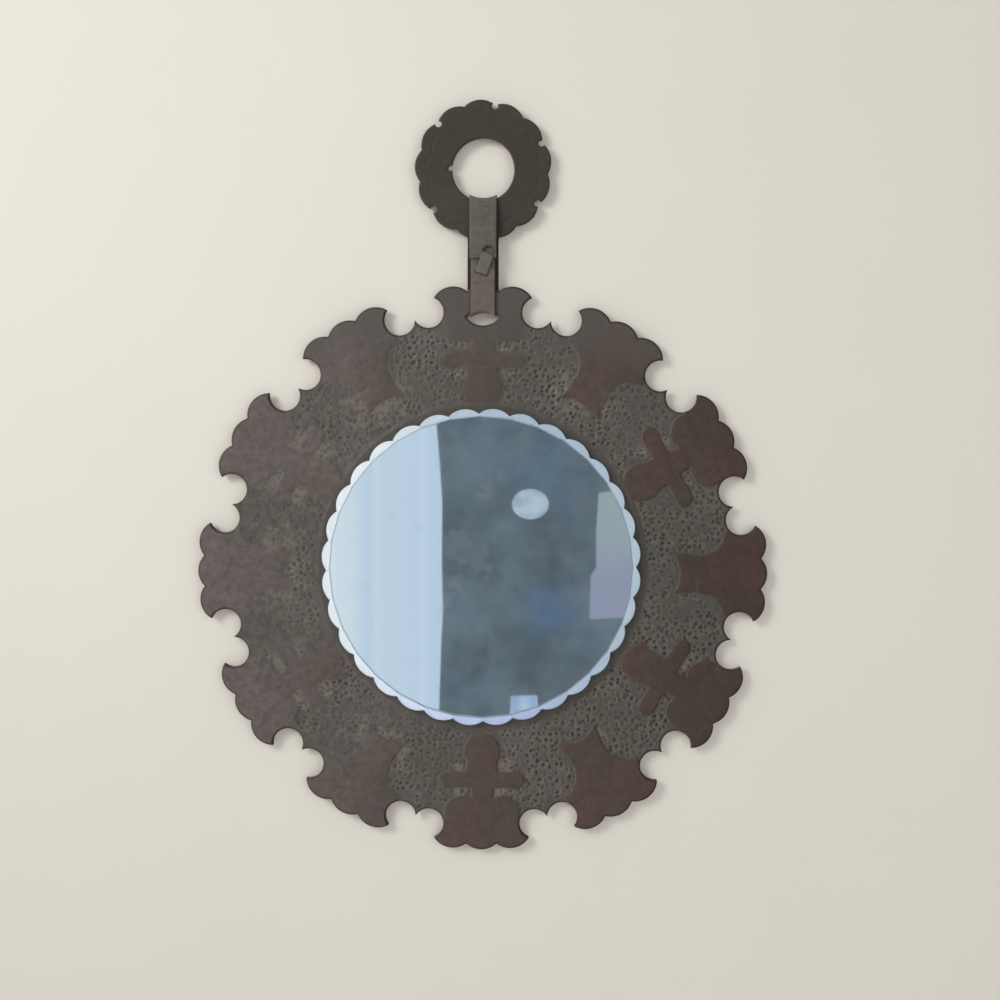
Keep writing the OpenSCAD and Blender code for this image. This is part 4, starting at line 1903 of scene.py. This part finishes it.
@dataclass
class Studio:
    """Pale wall and floor, soft lamps, and what the glass reflects. Sizes are in metres."""

    wall_y: float = 0.0075
    floor_z: float = -1.35
    half: float = 6.0
    wall_colour: Rgb = (0.86, 0.83, 0.76)
    background: Rgb = (0.86, 0.85, 0.82)
    ambient: Rgb = (0.5, 0.5, 0.5)
    sheen_colour: Rgb = (3.0, 2.85, 3.1)
    room_colour: Rgb = (0.15, 0.178, 0.205)
    room_blue: Rgb = (0.12, 0.18, 0.28)
    room_strokes: Rgb = (0.2, 0.225, 0.215)
    low_colour: Rgb = (0.42, 0.53, 0.72)
    high_colour: Rgb = (0.62, 0.6, 1.3)
    bright_colour: Rgb = (1.95, 1.85, 1.7)
    far_colour: Rgb = (0.36, 0.4, 0.44)
    mirrored: Place = (-0.0258, -0.9904, -0.1357)
    card_y: float = -2.5
    target: Place = (0.0, 0.0, -0.34)

    def sheet(self, name: str, rim: Array, mat: bpy.types.Material) -> bpy.types.Object:
        """A flat stage piece with one face.

        Args:
            name: Name of the object.
            rim: Its corners in order, one row each, in metres.
            mat: Its material.

        Returns:
            The object.
        """
        mesh = bpy.data.meshes.new(name)
        mesh.from_pydata([tuple(p) for p in rim], [], [tuple(range(len(rim)))])
        obj = bpy.data.objects.new(name, mesh)
        bpy.context.scene.collection.objects.link(obj)
        obj.data.materials.append(mat)
        return obj

    def wall(self) -> None:
        """A pale wall close behind that takes shadows; from its back it is clear."""
        mat = PlainFinish("pale_wall", self.wall_colour, 0.85, 0.03, 6.0).make()
        board = Board(mat.node_tree)
        clear = board.node("ShaderNodeBsdfTransparent")
        back = board.node("ShaderNodeNewGeometry").outputs["Backfacing"]
        shader = mat.node_tree.nodes["Principled BSDF"]
        ends = {0: back, 1: shader.outputs[0], 2: clear.outputs[0]}
        mix = board.node("ShaderNodeMixShader", None, ends)
        board.feed(mat.node_tree.nodes["Material Output"].inputs["Surface"], mix.outputs[0])
        x, y = self.half, self.wall_y
        obj = self.sheet("wall", np.array([(-x, y, -x), (x, y, -x), (x, y, x), (-x, y, x)]), mat)
        obj.visible_diffuse = obj.visible_glossy = obj.visible_shadow = False

    def floor(self) -> None:
        """A pale floor below, which the glass doesn't see."""
        mat = PlainFinish("pale_floor", self.wall_colour, 0.85, 0.03, 6.0).make()
        x, z = self.half, self.floor_z
        obj = self.sheet("floor", np.array([(-x, -x, z), (x, -x, z), (x, 2.0, z), (-x, 2.0, z)]), mat)
        obj.visible_glossy = obj.visible_transmission = False

    def glow(self, name: str, colours: tuple[Rgb, Rgb], pattern: Pattern) -> bpy.types.Material:
        """A bright face as the glass reflects it.

        Args:
            name: Name of the material.
            colours: Its two colours, where 1 is white.
            pattern: Where the second colour lies.

        Returns:
            The material.
        """
        mat, board = bare_nodes(bpy.data.materials.new(name))
        vector = board.node("ShaderNodeTexCoord").outputs["Object"]
        axes = board.axes(vector)
        if pattern is Pattern.BANDS:
            fine = board.ramp(board.math("SINE", board.times(axes["X"], 47.0)), 0.7, 0.95)
            slow = board.math("SINE", board.times_plus(axes["X"], 17.0, 0.6))
            bands = board.plus(fine, board.times(board.ramp(slow, 0.1, 0.9), 0.8))
            left = board.times(board.ramp(axes["X"], -0.37, -0.47), 0.8)
            mask = board.times_plus(bands, 0.25, left)
        elif pattern is Pattern.FALL:
            mask = board.ramp(axes["Z"], -0.76, -0.6)
        else:
            mask = board.ramp(board.noise(vector, 20.0, 1.0), 0.35, 0.7)
        level = board.mix(mask, *colours)
        emit = board.node("ShaderNodeEmission", None, {"Color": level, "Strength": 1.0})
        board.feed(board.node("ShaderNodeOutputMaterial").inputs["Surface"], emit.outputs[0])
        return mat

    def card(self, name: str, corners: Array, colours: tuple[Rgb, Rgb], pattern: Pattern) -> None:
        """A bright face behind the camera that only the glass sees.

        Args:
            name: Name that the object and the material start with.
            corners: Its corners in order, each to the right and upwards.
            colours: Its two colours.
            pattern: Where the second colour lies.
        """
        places = np.insert(corners, 1, self.card_y, axis=1)
        obj = self.sheet(f"{name}_face", places, self.glow(f"{name}_glow", colours, pattern))
        obj.visible_camera = obj.visible_diffuse = obj.visible_shadow = False

    def cards(self) -> None:
        """The window on the left, a pale door, a round thing and a low one."""
        window = np.array([
            (-0.197, 0.9), (-2.2, 0.9), (-2.2, -1.9), (-0.187, -1.9), (-0.187, -1.13), (-0.181, -0.93),
            (-0.176, -0.84), (-0.179, -0.7), (-0.178, -0.52), (-0.184, -0.42), (-0.194, -0.3),
        ])
        self.card("window", window, ((0.62, 0.71, 0.82), (0.82, 0.86, 0.86)), Pattern.BANDS)
        side = np.array([
            (0.274, -0.49), (0.268, -0.6), (0.269, -0.705), (0.254, -0.73), (0.251, -0.858),
            (0.45, -0.85), (0.45, -0.46),
        ])
        self.card("side", side, ((0.35, 0.345, 0.44), (0.38, 0.42, 0.43)), Pattern.FALL)
        turn = np.radians(np.arange(0, 360, 9))
        oval = np.stack([0.077 + 0.053 * np.cos(turn), -0.523 + 0.044 * np.sin(turn)], axis=1)
        self.card("round", oval, ((0.55, 0.62, 0.68), (0.4, 0.46, 0.52)), Pattern.CORE)
        low = np.array([(0.021, -1.145), (0.023, -1.088), (0.1, -1.084), (0.106, -1.145)])
        self.card("low", low, ((0.36, 0.47, 0.66), (0.55, 0.62, 0.72)), Pattern.CORE)

    def lamp(
        self, name: str, at: Place, size: float, power: float, colour: Rgb, spread: float = 180.0
    ) -> None:
        """A soft square lamp aimed at the piece.

        Args:
            name: Name of the lamp.
            at: Its place.
            size: Width of its face.
            power: Its power, in watts.
            colour: Its colour.
            spread: Angle of the cone that it lights, in degrees.
        """
        data = bpy.data.lights.new(name, "AREA")
        data.shape, data.size, data.energy, data.color = "SQUARE", size, power, colour
        data.spread = math.radians(spread)
        obj = bpy.data.objects.new(name, data)
        bpy.context.scene.collection.objects.link(obj)
        obj.location = at
        obj.rotation_euler = (Vector(self.target) - Vector(at)).to_track_quat("-Z", "Y").to_euler()
        obj.visible_transmission = False

    def room(self, board: Board, way: Socket) -> Socket:
        """The room as the glass sees it.

        The flat of the glass sees a cone of a blue-grey room round the direction
        called mirrored. Its facets look past that cone, at pale walls, violet above,
        and at a bright window to the right.

        Args:
            board: The world's nodes.
            way: The direction of view.

        Returns:
            The colour.
        """
        dark, light = (tuple(c * level for c in self.room_colour) for level in (0.7, 1.3))
        room = board.mix(board.ramp(board.noise(way, 15.0, 5.0, 0.6), 0.32, 0.7), dark, light)
        room = board.mix(board.ramp(board.noise(way, 9.0, 3.0), 0.5, 0.7), room, self.room_blue)
        strokes = board.ramp(board.noise(way, 55.0, 5.0, 0.65), 0.4, 0.66)
        room = board.mix(board.times(strokes, 0.3), room, self.room_strokes)
        axes = board.axes(way)
        bright = board.mix(board.ramp(axes["Z"], -0.25, 0.0), self.low_colour, self.high_colour)
        bright = board.stain(board.ramp(axes["X"], 0.02, -0.12), bright, (0.62, 0.64, 0.74))
        bright = board.mix(board.ramp(axes["X"], 0.0, 0.14), bright, self.bright_colour)
        both = {0: way, 1: self.mirrored}
        dot = board.node("ShaderNodeVectorMath", {"operation": "DOT_PRODUCT"}, both)
        cone = dot.outputs["Value"]
        patchy = board.times_plus(board.noise(way, 5.0), 0.6, 0.7)
        room = board.mix(board.times(board.ramp(cone, 0.9905, 0.985), patchy), room, bright)
        return board.mix(board.ramp(cone, 0.86, 0.65), room, self.far_colour)

    def world(self) -> None:
        """Even light, a sheen from the left on leather, and the room for the glass."""
        world, board = bare_nodes(bpy.data.worlds.new("studio"))
        bpy.context.scene.world = world
        path = board.node("ShaderNodeLightPath").outputs
        way = board.node("ShaderNodeTexCoord").outputs["Generated"]
        left = board.ramp(board.axes(way)["X"], 0.2, -0.6)
        sheen = board.mix(left, (0.05, 0.05, 0.05), self.sheen_colour)
        colour = board.mix(path["Is Glossy Ray"], self.ambient, sheen)
        seen = board.math("MAXIMUM", path["Is Transmission Ray"], path["Is Singular Ray"])
        colour = board.mix(seen, colour, self.room(board, way))
        colour = board.mix(path["Is Camera Ray"], colour, self.background)
        back = board.node("ShaderNodeBackground", None, {"Color": colour, "Strength": 1.0})
        board.feed(board.node("ShaderNodeOutputWorld").inputs["Surface"], back.outputs[0])

    def build(self) -> None:
        """Sets the stage."""
        self.wall()
        self.floor()
        key, fill = (-1.35, -1.35, 0.65), (1.5, -2.4, 0.0)
        self.lamp("key_lamp", key, size=0.8, power=7.2, colour=(1.0, 0.98, 0.95), spread=110.0)
        self.lamp("fill_lamp", fill, size=1.6, power=9.0, colour=(0.96, 0.98, 1.0))
        self.cards()
        self.world()


@dataclass
class Viewpoint:
    """The camera: in front, a little above and to the right, turned a little.

    Lengths are in metres, the sensor's width in millimetres and angles in degrees.
    """

    distance: float = 1.2
    pitch: float = 4.76
    yaw: float = -0.63
    roll: float = 0.24
    aim: Place = (0.0166, 0.0, -0.3042)
    view_width: float = 0.9387
    sensor: float = 36.0

    def build(self) -> None:
        """Makes the camera and gives it to the scene.

        It stands at aim - distance x (sin yaw cos pitch, cos yaw cos pitch, -sin pitch).
        """
        data = bpy.data.cameras.new("camera")
        data.sensor_width = self.sensor
        data.lens = self.sensor * self.distance / self.view_width
        obj = bpy.data.objects.new("camera", data)
        bpy.context.scene.collection.objects.link(obj)
        pitch, yaw, roll = (math.radians(a) for a in (self.pitch, self.yaw, self.roll))
        level = math.cos(pitch)
        way = Vector((math.sin(yaw) * level, math.cos(yaw) * level, -math.sin(pitch)))
        obj.location = Vector(self.aim) - way * self.distance
        obj.rotation_euler = way.to_track_quat("-Z", "Y").to_euler()
        obj.rotation_euler.rotate_axis("Z", roll)
        bpy.context.scene.camera = obj


def main() -> None:
    """Builds the mirror, the studio and the camera, and reports each piece."""
    logging.basicConfig(level=logging.INFO, format="%(name)s: %(message)s")
    Viewpoint().build()
    parts = {
        "panel": TooledPanel().build(),
        "ring": [HangingRing().build()],
        "strap": HangingStrap().build(),
        "glass": MirrorGlass().build(),
    }
    for group, pieces in parts.items():
        for piece in pieces:
            LOG.info("%s: %s, %d faces", group, piece.name, len(piece.data.polygons))
    Studio().build()
    bpy.context.scene.view_settings.view_transform = "Standard"


if __name__ == "__main__":
    main()
